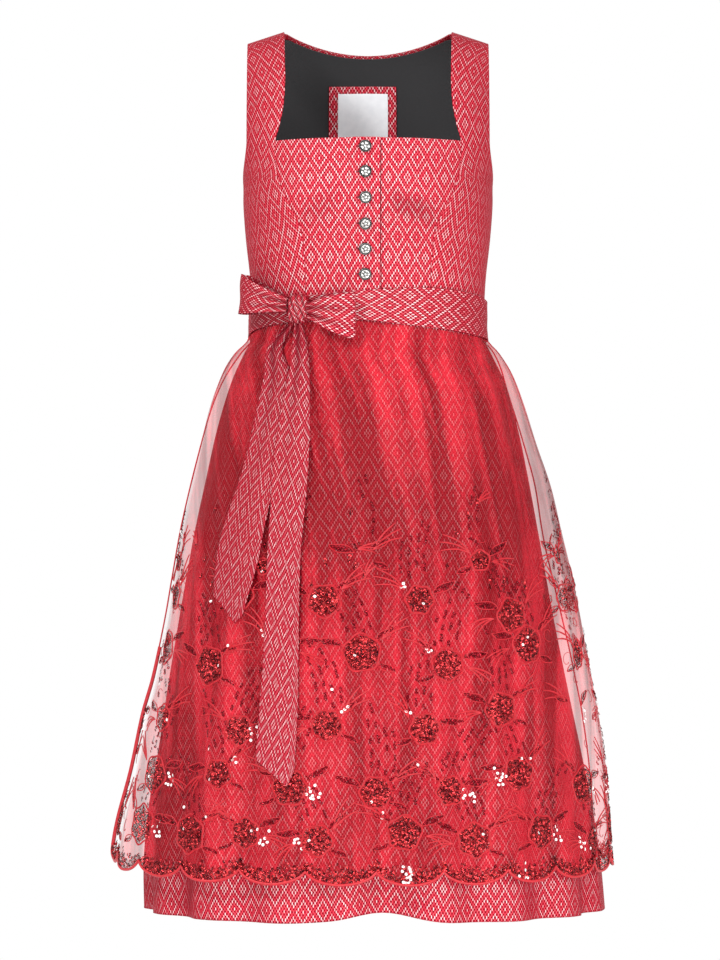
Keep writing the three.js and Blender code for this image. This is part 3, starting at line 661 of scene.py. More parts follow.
# %% Fronts
cuts = {
    "right": ([lambda z: -princess_x(z) + gap, straight(-26), straight(-15), straight(14.4)], [24, 6, 8], lap),
    "left": ([straight(-12), lambda z: princess_x(z) - gap], [34], None),
}
for hand, (lines, steps, lift) in cuts.items():
    rows = [front_neck] + rows_below(NECK_CORNER - 1.5)
    grid = panel(bodice_point, [at_front(line) for line in lines], steps, rows, lift=lift)
    uv = uv_of(grid[0])
    uv[..., 0] += grid[0][:, [grid[0].shape[1] // 2], 0]
    cloth("bodice_centre_front_" + hand, grid, uv, dress_cloth, "dress_cloth",
          ["bodice_side_front_right", "bodice_side_front_left"])
for hand, side in (("right", -1), ("left", 1)):
    side_panel("bodice_side_front_" + hand, side, at_front, princess_x, side, 22, rows_from(ridge),
               0.1 * side, (side * 118, 8.0))
print("front cuts", cut_list)


# %% Backs
def back_neck(x):
    share = np.abs(x) / SHOULDER["at"]
    return np.where(share < 1, np.minimum(ridge(x), -16 + 22.5 * share ** 2), ridge(x))


def back_edge(z):
    return np.where(z > -115, armhole(z), back_seam_x(z) - gap)


grid = panel(bodice_point, [at_back(back_edge), at_back(lambda z: -back_edge(z))], [48], rows_from(back_neck))
cloth("bodice_centre_back", grid, uv_of(grid[0]), dress_cloth, "dress_cloth", ["bodice_side_back_right"])
for hand, side in (("right", -1), ("left", 1)):
    side_panel("bodice_side_back_" + hand, side, at_back, back_seam_x, -side, 20,
               [straight(-115.0)] + rows_below(-116.5), -0.08 * side)
grid = panel(bodice_point, [at_back(lambda z: armhole(z) - 2.5), at_back(lambda z: 2.5 - armhole(z))],
             [40], rows_from(lambda x: back_neck(x) - 2.5), inset=4.6)
cloth("back_lining", grid, uv_of(grid[0]), black_lining, "lining", ["bodice_centre_back"], thick=1.0)
print("back cuts", cut_list[4:])

# %% [markdown]
# ## The square patch and the label
# A square of the dress cloth is sewn to the lining below the neck, and a smooth woven label on it. The label is bare.

# %% Patch and label
def sewn_inside(name, x, top, size, inset, steps, *finish, **wall):
    """A square piece on the inside of the back, inset from its outer face."""
    lines = [at_back(straight(x + size / 2)), at_back(straight(x - size / 2))]
    rows = [straight(z) for z in np.linspace(top, top - size, steps)]
    grid = panel(bodice_point, lines, [steps], rows, inset=inset)
    cloth(name, grid, uv_of(grid[0]), *finish, **wall)


sewn_inside("label_backing", -6.6, -52, 84, 6.5, 24, dress_cloth, "dress_cloth", ["back_lining"],
            thick=0.8, edge=0.25)
sewn_inside("neck_label", -6.2, -61, 62, 7.9, 20, label_satin, "label", ["label_backing"], thick=0.6, edge=0.2)
print("the label is 62 mm square and has nothing on it")

# %% [markdown]
# ## The skirt
# The skirt flares from the waist and falls in soft folds that deepen towards the hem. It is two panels with a seam
# at each side. The folds are valleys with their own angle, width and depth, so no two are alike.

# %% Skirt
def skirt_hem(x):
    return HEM + 12 * np.exp(-(((x - 14) / 52) ** 2))


shares = np.concatenate([np.linspace(0, 0.12, 12), np.linspace(0.12, 1, 56)[1:-1], [0.994, 1.0]])
for name, start, end, columns, hem in (("skirt_front", -90, 90, 230, skirt_hem),
                                       ("skirt_back", 90, 270, 280, lambda x: HEM + 0 * x)):
    turn = gap / WAIST_WIDE
    lines = [lambda z, t=math.radians(start) + turn: t, lambda z, t=math.radians(end) - turn: t]
    rows = [lambda x, t=t, hem=hem: mix(WAIST - 0.3, hem(x), t) for t in shares]
    grid = panel(skirt_point, lines, [columns], rows)
    cloth(name, grid, uv_of(grid[0]), dress_cloth, "dress_cloth", ["bodice_centre_front_right"], "gathered",
          thick=1.6, edge=0)
print("skirt cuts", cut_list[-2:])

# %% [markdown]
# ## The sash and the bow
# The sash is the same cloth cut lengthwise, so its diamonds lie along the strip. The bow's loops are ribbons that
# leave the knot, turn round and come back. They are pinched at the knot, which shows as creases that run out from it;
# the bottoms of the creases and the loops' inner sides carry painted shade.

# %% Sash
SASH_OUT = 4.0
SASH_HALF = 143


def sash_face(theta, z):
    return waist_face(theta, z, SASH_OUT)


for name, start, end, columns in (("sash_front", -90, 90, 150), ("sash_back", 90, 270, 110)):
    turn = gap / SASH_HALF
    theta = np.linspace(math.radians(start) + turn, math.radians(end) - turn, columns)[None, :]
    share = np.linspace(0, 1, 16)[:, None]
    around = (np.degrees(theta) + 540) % 360 - 180
    z = mix(sash_top(around), sash_bottom(around), share)
    theta = theta + 0 * z
    points, normals = sash_face(theta, z), normals_of(sash_face, theta, z)
    crease = 0.35 * np.sin(share * 9 + 3 * np.sin(theta * 2.3)) * np.sin(np.pi * share)
    points = points + normals * (crease[..., None] - 0.35)
    uv = uv_of(points, 0.0, (8.0, 0.0), lengthwise=True)
    cloth(name, (points, normals), uv, sash_cloth, "sash_cloth", ["bodice_centre_front_right", "bodice_centre_back"],
          thick=1.6)
print("sash cuts", cut_list[-2:])

# %% Bow knot
KNOT = dict(x=-74.0, z=-331.0, wide=13.4, tall=18.2, deep=9.6, off=0.2)
knot_theta = float(front_theta(KNOT["x"] / WAIST_WIDE, WAIST_POWER))


def waist_ring(theta, out):
    side, forward = outline(theta, WAIST_POWER)
    return np.stack([side * (WAIST_WIDE + out), -forward * (WAIST_DEEP + out)], -1)


def bulge(v):
    return np.sign(v) * np.abs(v) ** 0.62


def knot_mesh():
    turn, tilt = np.meshgrid(np.linspace(0, 2 * np.pi, 97)[:-1], np.linspace(0.02, np.pi - 0.02, 61))
    x, y, z = np.sin(tilt) * np.cos(turn), np.sin(tilt) * np.sin(turn), np.cos(tilt)
    x, y, z = bulge(x), bulge(y), bulge(z)
    twist = x * 5.6 + z * 2.4 + 0.5 * np.sin(z * 3.0)
    fold = 0.98 - 0.2 * np.abs(np.sin(twist)) ** 3 * np.clip(-y * 1.4, 0, 1)
    local = np.stack([x * KNOT["wide"] * 0.98, y * KNOT["deep"] * fold, z * KNOT["tall"] * (fold * 0.5 + 0.48)], -1)
    n = normals_of(sash_face, np.array(knot_theta), np.array(KNOT["z"]))
    angle = math.atan2(n[0], -n[1])
    c, s = math.cos(angle), math.sin(angle)
    xy = waist_ring(knot_theta, SASH_OUT + KNOT["deep"] + KNOT["off"])
    turned = np.stack([c * local[..., 0] - s * local[..., 1] + xy[0],
                       s * local[..., 0] + c * local[..., 1] + xy[1], local[..., 2] + KNOT["z"]], -1)
    uv = np.stack([local[..., 0] * 1.6 + local[..., 2] * 0.5, local[..., 2] * 1.9], -1).reshape(-1, 2)
    piece = build_mesh("cloth_bow_knot", turned.reshape(-1, 3), capped_rings(*turned.shape[:2]), uv, sash_cloth)
    # Painted shade in the knot's twisted creases and at its sides, where it tucks under.
    knot_crease_shade = np.abs(np.sin(twist)) ** 5 * np.clip(-y * 1.6, 0, 1) + np.clip(np.abs(x) - 0.8, 0, 1) * 2
    mark(piece, "hollow", np.clip(knot_crease_shade, 0, 1))
    return piece


settle(knot_mesh(), ["bow_knot"])
print("the knot is", 2 * KNOT["wide"], "mm wide and", 2 * KNOT["tall"], "mm tall")

# %% Bow loops
# far from the knot, out from the waist, height of the ribbon's middle, half its width
RIGHT_LOOP = np.array([(9.6, 15, -326, 8), (28, 21, -321, 13.5), (50, 24, -315, 20), (70, 20, -311.5, 23.5),
                       (77.5, 13, -312, 23.5), (70, 7.5, -313, 23), (50, 6, -317, 19), (28, 6.5, -322, 13),
                       (9.6, 8, -327, 8)], float)
LEFT_LOOP = np.array([(9.6, 16, -333, 8.5), (20, 21, -334, 15), (33, 22.5, -337, 22), (46, 19, -339, 26),
                      (51, 14.5, -340, 26.5), (46, 10, -340, 26), (33, 9, -339, 21), (20, 9, -335, 14),
                      (9.6, 9.5, -333, 8.5)], float)
PER_TURN = WAIST_DEEP * 1.12


def loop_piece(name, table, side):
    keyed = np.column_stack([np.arange(len(table)), table])
    far, out, height, tall = (curve(keyed, k) for k in range(1, 5))
    t = np.linspace(0, len(table) - 1, 120)[None, :]
    across = np.linspace(1, -1, 34)[:, None]

    def place(t):
        pinch = np.clip(1 - far(t) / 55, 0, 1)
        pleat = 2.3 * pinch * np.cos(across * 8 + 0.8) + 0.8 * np.sin(across * 3.4 + far(t) / 12)
        theta = knot_theta + side * far(t) * (1 - 0.05 * across * (side < 0)) / PER_TURN
        xy = waist_ring(theta, SASH_OUT + out(t) + pleat)
        return np.concatenate([xy, (height(t) + across * tall(t))[..., None]], -1)

    points = place(t)
    # Painted shade: darker at the bottoms of the pleats near the knot and on the loop's inner, returning half.
    pinch = np.clip(1.15 - far(t) / 48, 0, 1)
    loop_crease_shade = pinch * np.clip(-np.cos(across * 8 + 0.8) * 1.3, 0, 1)
    loop_inner_shade = np.clip(t - len(table) / 2 - 0.2, 0, 1) * 0.6
    hollow = np.clip(loop_crease_shade + loop_inner_shade, 0, 1)
    along = place(t + 0.02) - place(t - 0.02)
    normals = unit(np.cross(along, np.broadcast_to([0.0, 0, 1], along.shape)) * side)
    if side < 0:
        points, normals, hollow = points[:, ::-1], normals[:, ::-1], hollow[:, ::-1]
    uv = uv_of(points, 0.0, (3.0, 0.0), lengthwise=True)
    cloth(name, (points, normals), uv, sash_cloth, "sash_cloth", ["bow_knot"], thick=1.3, edge=0.35, hollow=hollow)


loop_piece("bow_loop_left", LEFT_LOOP, 1)
loop_piece("bow_loop_right", RIGHT_LOOP, -1)
print("loops reach", LEFT_LOOP[:, 0].max(), "and", RIGHT_LOOP[:, 0].max(), "mm from the knot")

# %% [markdown]
# ## The apron
# The apron is one wide sheet, gathered into the sash. Its fullness shows as fine creases at the waist that melt into
# a few broad waves. The hem is cut in scallops. It is a single layer here, because light goes through it.

# %% Apron surface
SCALLOPS, STEPS = 13, 6
apron_from, apron_to = curve(APRON_EDGES, 1), curve(APRON_EDGES, 2)


def apron_ring(theta, z, grow):
    side, forward = outline(theta, 2.1)
    deep = np.where(forward > 0, 1.0, 0.8) * apron_front(z)
    x = side * (np.where(side < 0, apron_right(z), apron_left(z)) + grow)
    return np.stack([x, -forward * (deep + grow), z + 0 * x], -1)


def apron_top(step):
    z = np.full(np.shape(step), WAIST)
    for _ in range(4):
        z = sash_bottom(np.clip(mix(apron_from(z), apron_to(z), step / (SCALLOPS * STEPS)), -180, 180)) - 1.2
    return z


def apron_wave(step, z, top):
    down = np.clip((top - z) / (top - HEM), 0, 1)
    start = ease((top - z) / 34)
    fine = 1.6 * (1 - 0.45 * down) * (0.5 + 0.5 * np.cos(np.pi * step / 2))
    wide = 5.5 * down ** 1.2 * (0.5 + 0.5 * np.cos(2 * np.pi * step / 9.75 + 0.9 * np.sin(step * 0.31)))
    near = np.exp(-(top - z) / 90.0)
    crease = 0.55 * near * np.sin(step * 5.1 + 1.7 * np.sin(step * 0.9) + (top - z) / 60)
    return start * (fine + wide) + crease


def apron_point(step, z):
    theta = np.radians(mix(apron_from(z), apron_to(z), step / (SCALLOPS * STEPS)))
    return apron_ring(theta, z, apron_wave(step, z, apron_top(step)))


def scallop_lift(step):
    u = 2 * ((step / STEPS) % 1) - 1
    return 15 * (1 - np.sqrt(1 - 0.9 * u * u)) / (1 - math.sqrt(0.1))


def hem_line(step):
    middle = 1 - np.abs(2 * step / (SCALLOPS * STEPS) - 1) ** 3
    return mix(-986, -1000, middle) + scallop_lift(step)


def apron_normal(step, z):
    across = apron_point(step + 0.05, z) - apron_point(step - 0.05, z)
    up = apron_point(step, z + 0.4) - apron_point(step, z - 0.4)
    return unit(np.cross(across, up))


step = np.linspace(0, SCALLOPS * STEPS, SCALLOPS * STEPS * 8 + 1)[None, :]
share = np.concatenate([np.linspace(0, 0.2, 26), np.linspace(0.2, 1, 62)[1:]])[:, None]
z = mix(apron_top(step), hem_line(step), share)
step = step + 0 * z
apron_grid = apron_point(step, z)
apron_uv = uv_of(apron_grid)
apron_piece = sheet_piece("cloth_apron", apron_grid, apron_uv, sheer)
from_edge = np.minimum(apron_uv[..., 0] - apron_uv[:, :1, 0], apron_uv[:, -1:, 0] - apron_uv[..., 0])
depth = share ** 1.2
free = np.clip((33 + 62 * depth - np.abs(from_edge)) / (25 + 12 * depth), 0, 1)
mark(apron_piece, "free", free)
print("apron", apron_grid.shape)

# %% [markdown]
# ## Threads and cords
# Corded edges, embroidered outlines and stitches all follow lines. We keep each as a chain of points, and one small
# Geometry Nodes tree turns any chain into a round thread.

# %% Thread tree
def new_tree(name, sizes):
    tree = bpy.data.node_groups.new(name, "GeometryNodeTree")
    tree.interface.new_socket("Geometry", in_out="INPUT", socket_type="NodeSocketGeometry")
    for label, kind in sizes.items():
        tree.interface.new_socket(label, in_out="INPUT", socket_type=kind)
    tree.interface.new_socket("Geometry", in_out="OUTPUT", socket_type="NodeSocketGeometry")
    return tree, tree.nodes.new("NodeGroupInput"), tree.nodes.new("NodeGroupOutput")


def chain(tree, *links):
    for a, out, b, into in links:
        tree.links.new(a.outputs[out], b.inputs[into])


def thread_tree():
    sizes = {"Radius": "NodeSocketFloat", "Sides": "NodeSocketInt", "Finish": "NodeSocketMaterial"}
    tree, start, end = new_tree("Thread", sizes)
    lines, tube, circle, real, finish = (tree.nodes.new("GeometryNode" + kind) for kind in (
        "MeshToCurve", "CurveToMesh", "CurvePrimitiveCircle", "RealizeInstances", "SetMaterial"))
    tube.inputs["Fill Caps"].default_value = True
    chain(tree, (start, "Geometry", lines, "Mesh"), (lines, "Curve", tube, "Curve"),
          (start, "Radius", circle, "Radius"), (start, "Sides", circle, "Resolution"),
          (circle, "Curve", tube, "Profile Curve"), (tube, "Mesh", real, "Geometry"),
          (real, "Geometry", finish, "Geometry"), (start, "Finish", finish, "Material"),
          (finish, "Geometry", end, "Geometry"))
    return tree


def use_tree(piece, tree, **sizes):
    modifier = piece.modifiers.new("nodes", "NODES")
    modifier.node_group = tree
    for item in tree.interface.items_tree:
        if item.in_out == "INPUT" and item.name in sizes:
            modifier[item.identifier] = sizes[item.name]
    return bake(piece)


threads = thread_tree()


def thread_piece(name, lines, radius, sides=5, finish=satin_thread):
    """Threads along chains of points in millimetres."""
    vertices, edges = [], []
    for line in lines:
        first = len(vertices)
        vertices += (np.asarray(line) * mm).tolist()
        edges += [(first + i, first + i + 1) for i in range(len(line) - 1)]
    mesh = bpy.data.meshes.new(name)
    mesh.from_pydata(vertices, edges, [])
    piece = bpy.data.objects.new(name, mesh)
    scene.collection.objects.link(piece)
    use_tree(piece, threads, Radius=radius * mm, Sides=sides, Finish=finish)
    piece.data.shade_smooth()
    settle(piece, ())
    return piece


def on_apron(step, z, out=0.0):
    return apron_point(step, z) + apron_normal(step, z) * out


hem_steps = np.linspace(0, SCALLOPS * STEPS, SCALLOPS * 30 + 1)
hem_cord = thread_piece("apron_hem_cord", [on_apron(hem_steps, hem_line(hem_steps) + 1.4, 0.2)], 1.7, 8)
print("cord round", SCALLOPS, "scallops")

# %% Side hems of the apron
for name, low in (("apron_side_hem_right", 0.12), ("apron_side_hem_left", SCALLOPS * STEPS - 0.12)):
    z = np.linspace(0, 1, 120)
    s = np.full(120, low)
    z = mix(apron_top(s) - 2, hem_line(s) + 3, z)
    thread_piece(name, [on_apron(s, z, 0.6)], 0.9, 6)
    if low < 1:
        wide_part = z < -730
        lines = [on_apron(s[wide_part] + k, z[wide_part], 0.6) for k in (0.3, 0.6, 0.9, 1.2)]
        thread_piece("apron_turned_edge", lines, 1.7, 6)
settle(apron_piece, ["apron"], apron_grid)
print("apron cut", cut_list[-1])

# %% [markdown]
# ## Embroidery
# Flowers, leaves and sprays are drawn flat, in millimetres, on a chart of the apron: distance round it and height.
# The chart is then laid on the cloth. Sequins fill the shapes, and thread outlines them. The layout is a half-drop:
# each row of flowers stands between those of the row below.

# %% Chart of the apron
def lengths(line):
    """How far along a chain of points each of them is."""
    return np.concatenate([[0], np.cumsum(np.linalg.norm(np.diff(line, axis=0), axis=1))])


def chart_step(across, z):
    """The step on the apron that lies this many millimetres round from the front, at height z."""
    steps = np.linspace(0, SCALLOPS * STEPS, 157)
    found = np.empty(len(z))
    order = np.round(z / 4).astype(int)
    for level in np.unique(order):
        theta = np.radians(mix(apron_from(level * 4.0), apron_to(level * 4.0), steps / (SCALLOPS * STEPS)))
        ring = apron_ring(theta, np.full(157, level * 4.0), 2.0)
        length = lengths(ring)
        length -= np.interp(0, theta, length)
        here = order == level
        found[here] = np.interp(across[here], length, steps)
    return found


def turned(points, angle, centre):
    c, s = math.cos(angle), math.sin(angle)
    p = np.asarray(points, float)
    return np.stack([p[:, 0] * c - p[:, 1] * s + centre[0], p[:, 0] * s + p[:, 1] * c + centre[1]], 1)


def round_about(centre, r, a):
    return np.stack([centre[0] - r * np.sin(a), centre[1] + r * np.cos(a)], 1)


rng = np.random.default_rng(7)
sequin_chart, dark_chart, thread_chart, fine_chart = [], [], [], []


def flower(centre, radius, spin, petals=5):
    """A disc of sequins with a wavy outline of thread, and a short curved vein in each petal."""
    sequin_chart.append([centre])
    for r in np.arange(3.0, radius, 2.95):
        a = np.linspace(0, 2 * np.pi, int(2 * np.pi * r / 3.0), endpoint=False) + r
        edge = radius * (0.9 + 0.05 * np.cos(petals * (a - spin)))
        a = a[r < edge]
        sequin_chart.append(round_about(centre, r, a))
    for grow in (1.2, 2.3):
        a = np.linspace(0, 2 * np.pi, 61)
        r = radius * (0.92 + 0.07 * np.cos(petals * (a - spin))) + grow
        thread_chart.append(round_about(centre, r, a))
    for k in range(petals):
        t = np.linspace(0.35, 0.9, 6)
        vein = np.stack([radius * 0.16 * np.sin(t * 4), t * radius], 1)
        fine_chart.append(turned(vein, spin + 2 * math.pi * k / petals, centre))


def leaf(centre, length, wide, spin, bend=0.25):
    t = np.linspace(0, 1, 10)
    spine = bend * length * np.sin(np.pi * t * 0.5) ** 2
    side = wide * np.sin(np.pi * t)
    for sign in (1, -1):
        thread_chart.append(turned(np.stack([spine + sign * side, t * length], 1), spin, centre))
    inside = np.linspace(0.14, 0.88, max(3, int(length / 3.1)))
    spine_in = bend * length * np.sin(np.pi * inside * 0.5) ** 2
    for off in (-0.3, 0.3):
        row = np.stack([spine_in + off * wide * np.sin(np.pi * inside), inside * length], 1)
        dark_chart.append(turned(row, spin, centre))


def swirl(centre, size, spin, hand):
    t = np.linspace(0, 1, 16)
    angle = hand * t * 4.4
    r = size * (1 - 0.72 * t)
    fine_chart.append(turned(np.stack([r * np.cos(angle) - size, r * np.sin(angle)], 1), spin, centre))


def trail(centre, spin, bend, columns=4, drops=6):
    """Curved columns of short drops, each of two or three sequins."""
    for i in range(columns):
        aside = 8.5 * (i - columns / 2 + 0.5)
        for j in range(drops - abs(2 * i - columns + 1) // 2):
            if rng.random() < 0.16:
                continue
            up = 24 + 13.5 * j + 5 * (i % 2) + rng.uniform(-2, 2)
            x = aside * (1 + 0.004 * up) + bend * (up / 50) ** 2
            lean = -2 * bend * up / 2500
            beads = [(x + rng.uniform(-0.8, 0.8) - lean * 3.2 * k, up + 3.2 * k) for k in range(2 + (i + j) % 2)]
            dark_chart.append(turned(beads, spin, centre))


def feather(centre, size, spin, hand, count=5):
    """Curved strokes of thread that leave one root."""
    for k in range(count):
        t = np.linspace(0, 1, 9)
        a = spin + hand * 0.24 * (k - count / 2)
        reach = size * (1 - 0.11 * abs(k - count / 2))
        for off in (0.0, 0.9):
            line = np.stack([hand * reach * 0.42 * t ** 2 + off * np.sin(np.pi * t), reach * t], 1)
            thread_chart.append(turned(line, a, centre))


# height of the row, distance between flowers, shift, radius of a flower, share of extra leaves
ROWS = [(-948, 90, 0.5, 19.5, 0.9), (-884, 98, 0.0, 18.5, 0.8), (-812, 110, 0.5, 17.5, 0.7),
        (-738, 100, 0.0, 19.0, 0.9), (-678, 112, 0.5, 16.5, 0.7), (-622, 140, 0.0, 10.5, 0.3)]
glint_chart = []
for z_row, pitch, drop, radius, dense in ROWS:
    for k in range(-7, 8):
        across = (k + drop) * pitch + rng.uniform(-15, 15)
        z0 = z_row + rng.uniform(-13, 13)
        if abs(across) > 450:
            continue
        spin = rng.uniform(0, 6.28)
        here = np.array([across, z0])
        size = radius * rng.uniform(0.82, 1.18)
        hand = 1 if (k + int(drop * 2)) % 2 else -1
        lean = rng.uniform(-0.35, 0.35)
        if rng.random() < 0.85:
            flower(here, size, spin, 5 if rng.random() < 0.7 else 6)
        leaf(here + [size * 1.0 * hand, size * 0.4], 30, 5.2, -hand * 1.0 + lean, 0.3 * hand)
        if rng.random() < dense:
            leaf(here + [-size * 0.8 * hand, size * 0.7], 24, 4.6, hand * 0.7 + lean, -0.3 * hand)
        if rng.random() < dense * 0.7:
            leaf(here + [-size * 0.9 * hand, -size * 0.6], 21, 4.2, math.pi + hand * -0.9, 0.25 * hand)
        if rng.random() < 0.9:
            trail(here, hand * rng.uniform(-0.2, 0.4), 12 * hand, 4 if dense > 0.5 else 2, 5)
        feather(here + [-size * 1.1 * hand, size * 0.7], 40, hand * 0.4 + lean, -hand, 3)
        if rng.random() < 0.6:
            feather(here + [size * 1.3 * hand, -size * 0.2], 32, -hand * 1.5 + lean, hand, 3)
        swirl(here + [-size * 1.8 * hand, 3.0], 10.0, 1.2 * hand, hand)
        swirl(here + [size * 0.7 * hand, size * 2.1], 8.0, -0.6 * hand, -hand)
        # Clusters of pale sequins beside some flowers: painted glints.
        if z_row < -800 and rng.random() < 0.5:
            spot = here + [hand * (size + 7), -4]
            glint_chart.append(spot + rng.uniform(-9, 9, (11, 2)))
        elif rng.random() < 0.3:
            glint_chart.append(here + [-hand * size * 1.2, size] + rng.uniform(-4, 4, (3, 2)))
for k in range(60):
    across, z0 = rng.uniform(-420, 420), rng.uniform(-680, -560)
    a = rng.uniform(-0.5, 0.5)
    sequin_chart.append(turned([(0, 3.1 * i) for i in range(2 + k % 2)], a, (across, z0)))
    if k % 5 == 0:
        feather(np.array([across, z0]), 22, rng.uniform(-1, 1), 1 if k % 4 else -1, 3)
print(len(thread_chart), "outlines,", len(fine_chart), "swirls")

# %% [markdown]
# ## Sequins
# A sequin is a small cupped ring with a hole for its thread. One ring is made once, and Geometry Nodes sets a copy
# on every marked point, faces it away from the cloth and tips it a little, so that some catch the light. Flowers
# and the hem are of bright red foil, its brightness from sequin to sequin painted as highlights and shade, leaves and
# trails of a darker one, and a few pale sequins are painted glints.

# %% Sequin ring
def sequin_ring():
    """A shallow cup with a hole, in millimetres."""
    sides, outer, inner, cup = 8, 1.85, 0.6, 0.4
    a = np.linspace(0, 2 * np.pi, sides, endpoint=False)
    rings = [(inner, 0.0), (outer * 0.8, cup * 0.5), (outer, cup)]
    points = np.concatenate([np.stack([r * np.cos(a), r * np.sin(a), 0 * a + h], 1) for r, h in rings])
    faces = []
    for k in range(2):
        for i in range(sides):
            j = (i + 1) % sides
            faces.append((k * sides + i, (k + 1) * sides + i, (k + 1) * sides + j, k * sides + j))
    piece = build_mesh("sequin_shape", points, faces, None, sequin_red)
    scene.collection.objects.unlink(piece)
    return piece


def sequin_tree(ring):
    sizes = {"Tip": "NodeSocketFloat", "Seed": "NodeSocketInt", "Finish": "NodeSocketMaterial"}
    tree, start, end = new_tree("Sequins", sizes)
    make = lambda kind: tree.nodes.new(kind)
    shape, stamp, real, finish = (make("GeometryNode" + k) for k in (
        "ObjectInfo", "InstanceOnPoints", "RealizeInstances", "SetMaterial"))
    facing, align, tip, down, spin = (make(k) for k in (
        "GeometryNodeInputNamedAttribute", "FunctionNodeAlignRotationToVector", "FunctionNodeRandomValue",
        "ShaderNodeVectorMath", "FunctionNodeRotateRotation"))
    shape.inputs["Object"].default_value = ring
    facing.data_type = "FLOAT_VECTOR"
    facing.inputs["Name"].default_value = "facing"
    align.axis = "Z"
    tip.data_type = "FLOAT_VECTOR"
    tip.inputs["Min"].default_value = (-1, -1, -1)
    tip.inputs["Max"].default_value = (1, 1, 1)
    down.operation = "SCALE"
    spin.rotation_space = "LOCAL"
    chain(tree, (start, "Geometry", stamp, "Points"), (shape, "Geometry", stamp, "Instance"),
          (facing, "Attribute", align, "Vector"), (align, "Rotation", spin, "Rotation"),
          (tip, "Value", down, "Vector"), (start, "Tip", down, "Scale"), (down, "Vector", spin, "Rotate By"),
          (spin, "Rotation", stamp, "Rotation"), (stamp, "Instances", real, "Geometry"),
          (real, "Geometry", finish, "Geometry"), (start, "Finish", finish, "Material"),
          (finish, "Geometry", end, "Geometry"))
    tree.links.new(start.outputs["Seed"], tip.inputs["Seed"])
    return tree


ring = sequin_ring()
sequins = sequin_tree(ring)


def sequin_piece(name, points, facing, seed, finish=sequin_red):
    mesh = bpy.data.meshes.new(name)
    mesh.from_pydata((points * mm).tolist(), [], [])
    mesh.attributes.new("facing", "FLOAT_VECTOR", "POINT").data.foreach_set("vector", facing.ravel())
    piece = bpy.data.objects.new(name, mesh)
    scene.collection.objects.link(piece)
    use_tree(piece, sequins, Tip=0.5, Seed=seed, Finish=finish)
    settle(piece, ())


def spaced(chart, least=2.9):
    """Leaves out a sequin that would lie on one already there."""
    kept, cells = [], {}
    for x, z in chart:
        i, j = int(x // least), int(z // least)
        near = [p for di in (-1, 0, 1) for dj in (-1, 0, 1) for p in cells.get((i + di, j + dj), ())]
        if all((x - a) ** 2 + (z - b) ** 2 > least * least for a, b in near):
            cells.setdefault((i, j), []).append((x, z))
            kept.append((x, z))
    return np.array(kept)


def points_of(chart):
    return [np.asarray(line, float).reshape(-1, 2) for line in chart]


glint_flat = spaced(np.concatenate(glint_chart), 3.2)
flat = spaced(np.concatenate([glint_flat] + points_of(sequin_chart)))
red = len(flat)
flat = spaced(np.concatenate([flat] + points_of(dark_chart)))
steps = chart_step(flat[:, 0], flat[:, 1])
bright, dark = np.arange(len(flat)) < len(glint_flat), np.arange(len(flat)) >= red
inside = (steps > 1.0) & (steps < SCALLOPS * STEPS - 1.0) & (flat[:, 1] > hem_line(steps) + 17)
flat, steps, bright, dark = flat[inside], steps[inside], bright[inside], dark[inside]
places, facings = on_apron(steps, flat[:, 1], 0.55), apron_normal(steps, flat[:, 1])
# A few pale sequins at random: painted glints.
bright |= rng.random(len(flat)) < 0.008
red, dark = ~bright & ~dark, ~bright & dark
sequin_piece("apron_sequins", places[red], facings[red], 3)
sequin_piece("apron_dark_sequins", places[dark], facings[dark], 5, sequin_dark)
sequin_piece("apron_pale_sequins", places[bright], facings[bright], 4, sequin_pale)
print(len(flat), "sequins in the flowers and leaves")


# %% The band along the hem
def hem_band(rows=8, pitch=3.2):
    """Rows of sequins that follow the scallops, dense at the cord and broken higher up."""
    found = []
    fine = np.linspace(0.3, SCALLOPS * STEPS - 0.3, 6000)
    for k in range(rows):
        lift = 4.6 + k * 2.9
        line = on_apron(fine, hem_line(fine) + lift, 0.55)
        length = lengths(line)
        at = np.interp(np.arange(pitch * (0.5 + 0.5 * (k % 2)), length[-1], pitch), length, fine)
        middle = np.cos(np.pi * ((at / STEPS) % 1 - 0.5))
        patchy = 0.5 + 0.5 * np.sin(at * 1.9 + 2.2 * np.sin(at * 0.63) + k * 0.5)
        at = at[rng.random(len(at)) < np.clip(1.45 - 0.24 * k * (1.3 - 0.6 * middle) - 0.4 * patchy * (k > 1), 0, 1)]
        found.append(np.stack([at, hem_line(at) + lift], 1))
    return np.concatenate(found)


band = hem_band()
band[:, 1] += rng.uniform(-0.8, 0.8, len(band))
glint = np.sin(band[:, 0] * 0.83 + 1.1) * np.sin(band[:, 0] * 0.31 + 2.0) > 0.86
glint &= rng.random(len(band)) < 0.4
for name, chosen, finish in (("apron_hem_sequins", ~glint, sequin_red), ("apron_hem_glints", glint, sequin_pale)):
    at, z = band[chosen, 0], band[chosen, 1]
    sequin_piece(name, on_apron(at, z, 0.55), apron_normal(at, z), 5, finish)
print(len(band), "sequins along the hem")

# %% Embroidery threads
def laid(charts):
    lines = []
    for chart_line in charts:
        flat_line = np.asarray(chart_line, float)
        s = chart_step(flat_line[:, 0], flat_line[:, 1])
        if s.min() > 1.0 and s.max() < SCALLOPS * STEPS - 1.0 and (flat_line[:, 1] > hem_line(s) + 16).all():
            lines.append(on_apron(s, flat_line[:, 1], 0.3))
    return lines


outlines, swirls = laid(thread_chart), laid(fine_chart)
thread_piece("apron_outline_threads", outlines, 0.62, 4)
thread_piece("apron_swirl_threads", swirls, 0.42, 3)
print(len(outlines), "outlines and", len(swirls), "swirls lie inside the apron's edges")

# %% [markdown]
# ## The bow's tails
# The two tails are ribbons that hang over the apron, a little way out where they leave the knot, and cut on a slant.

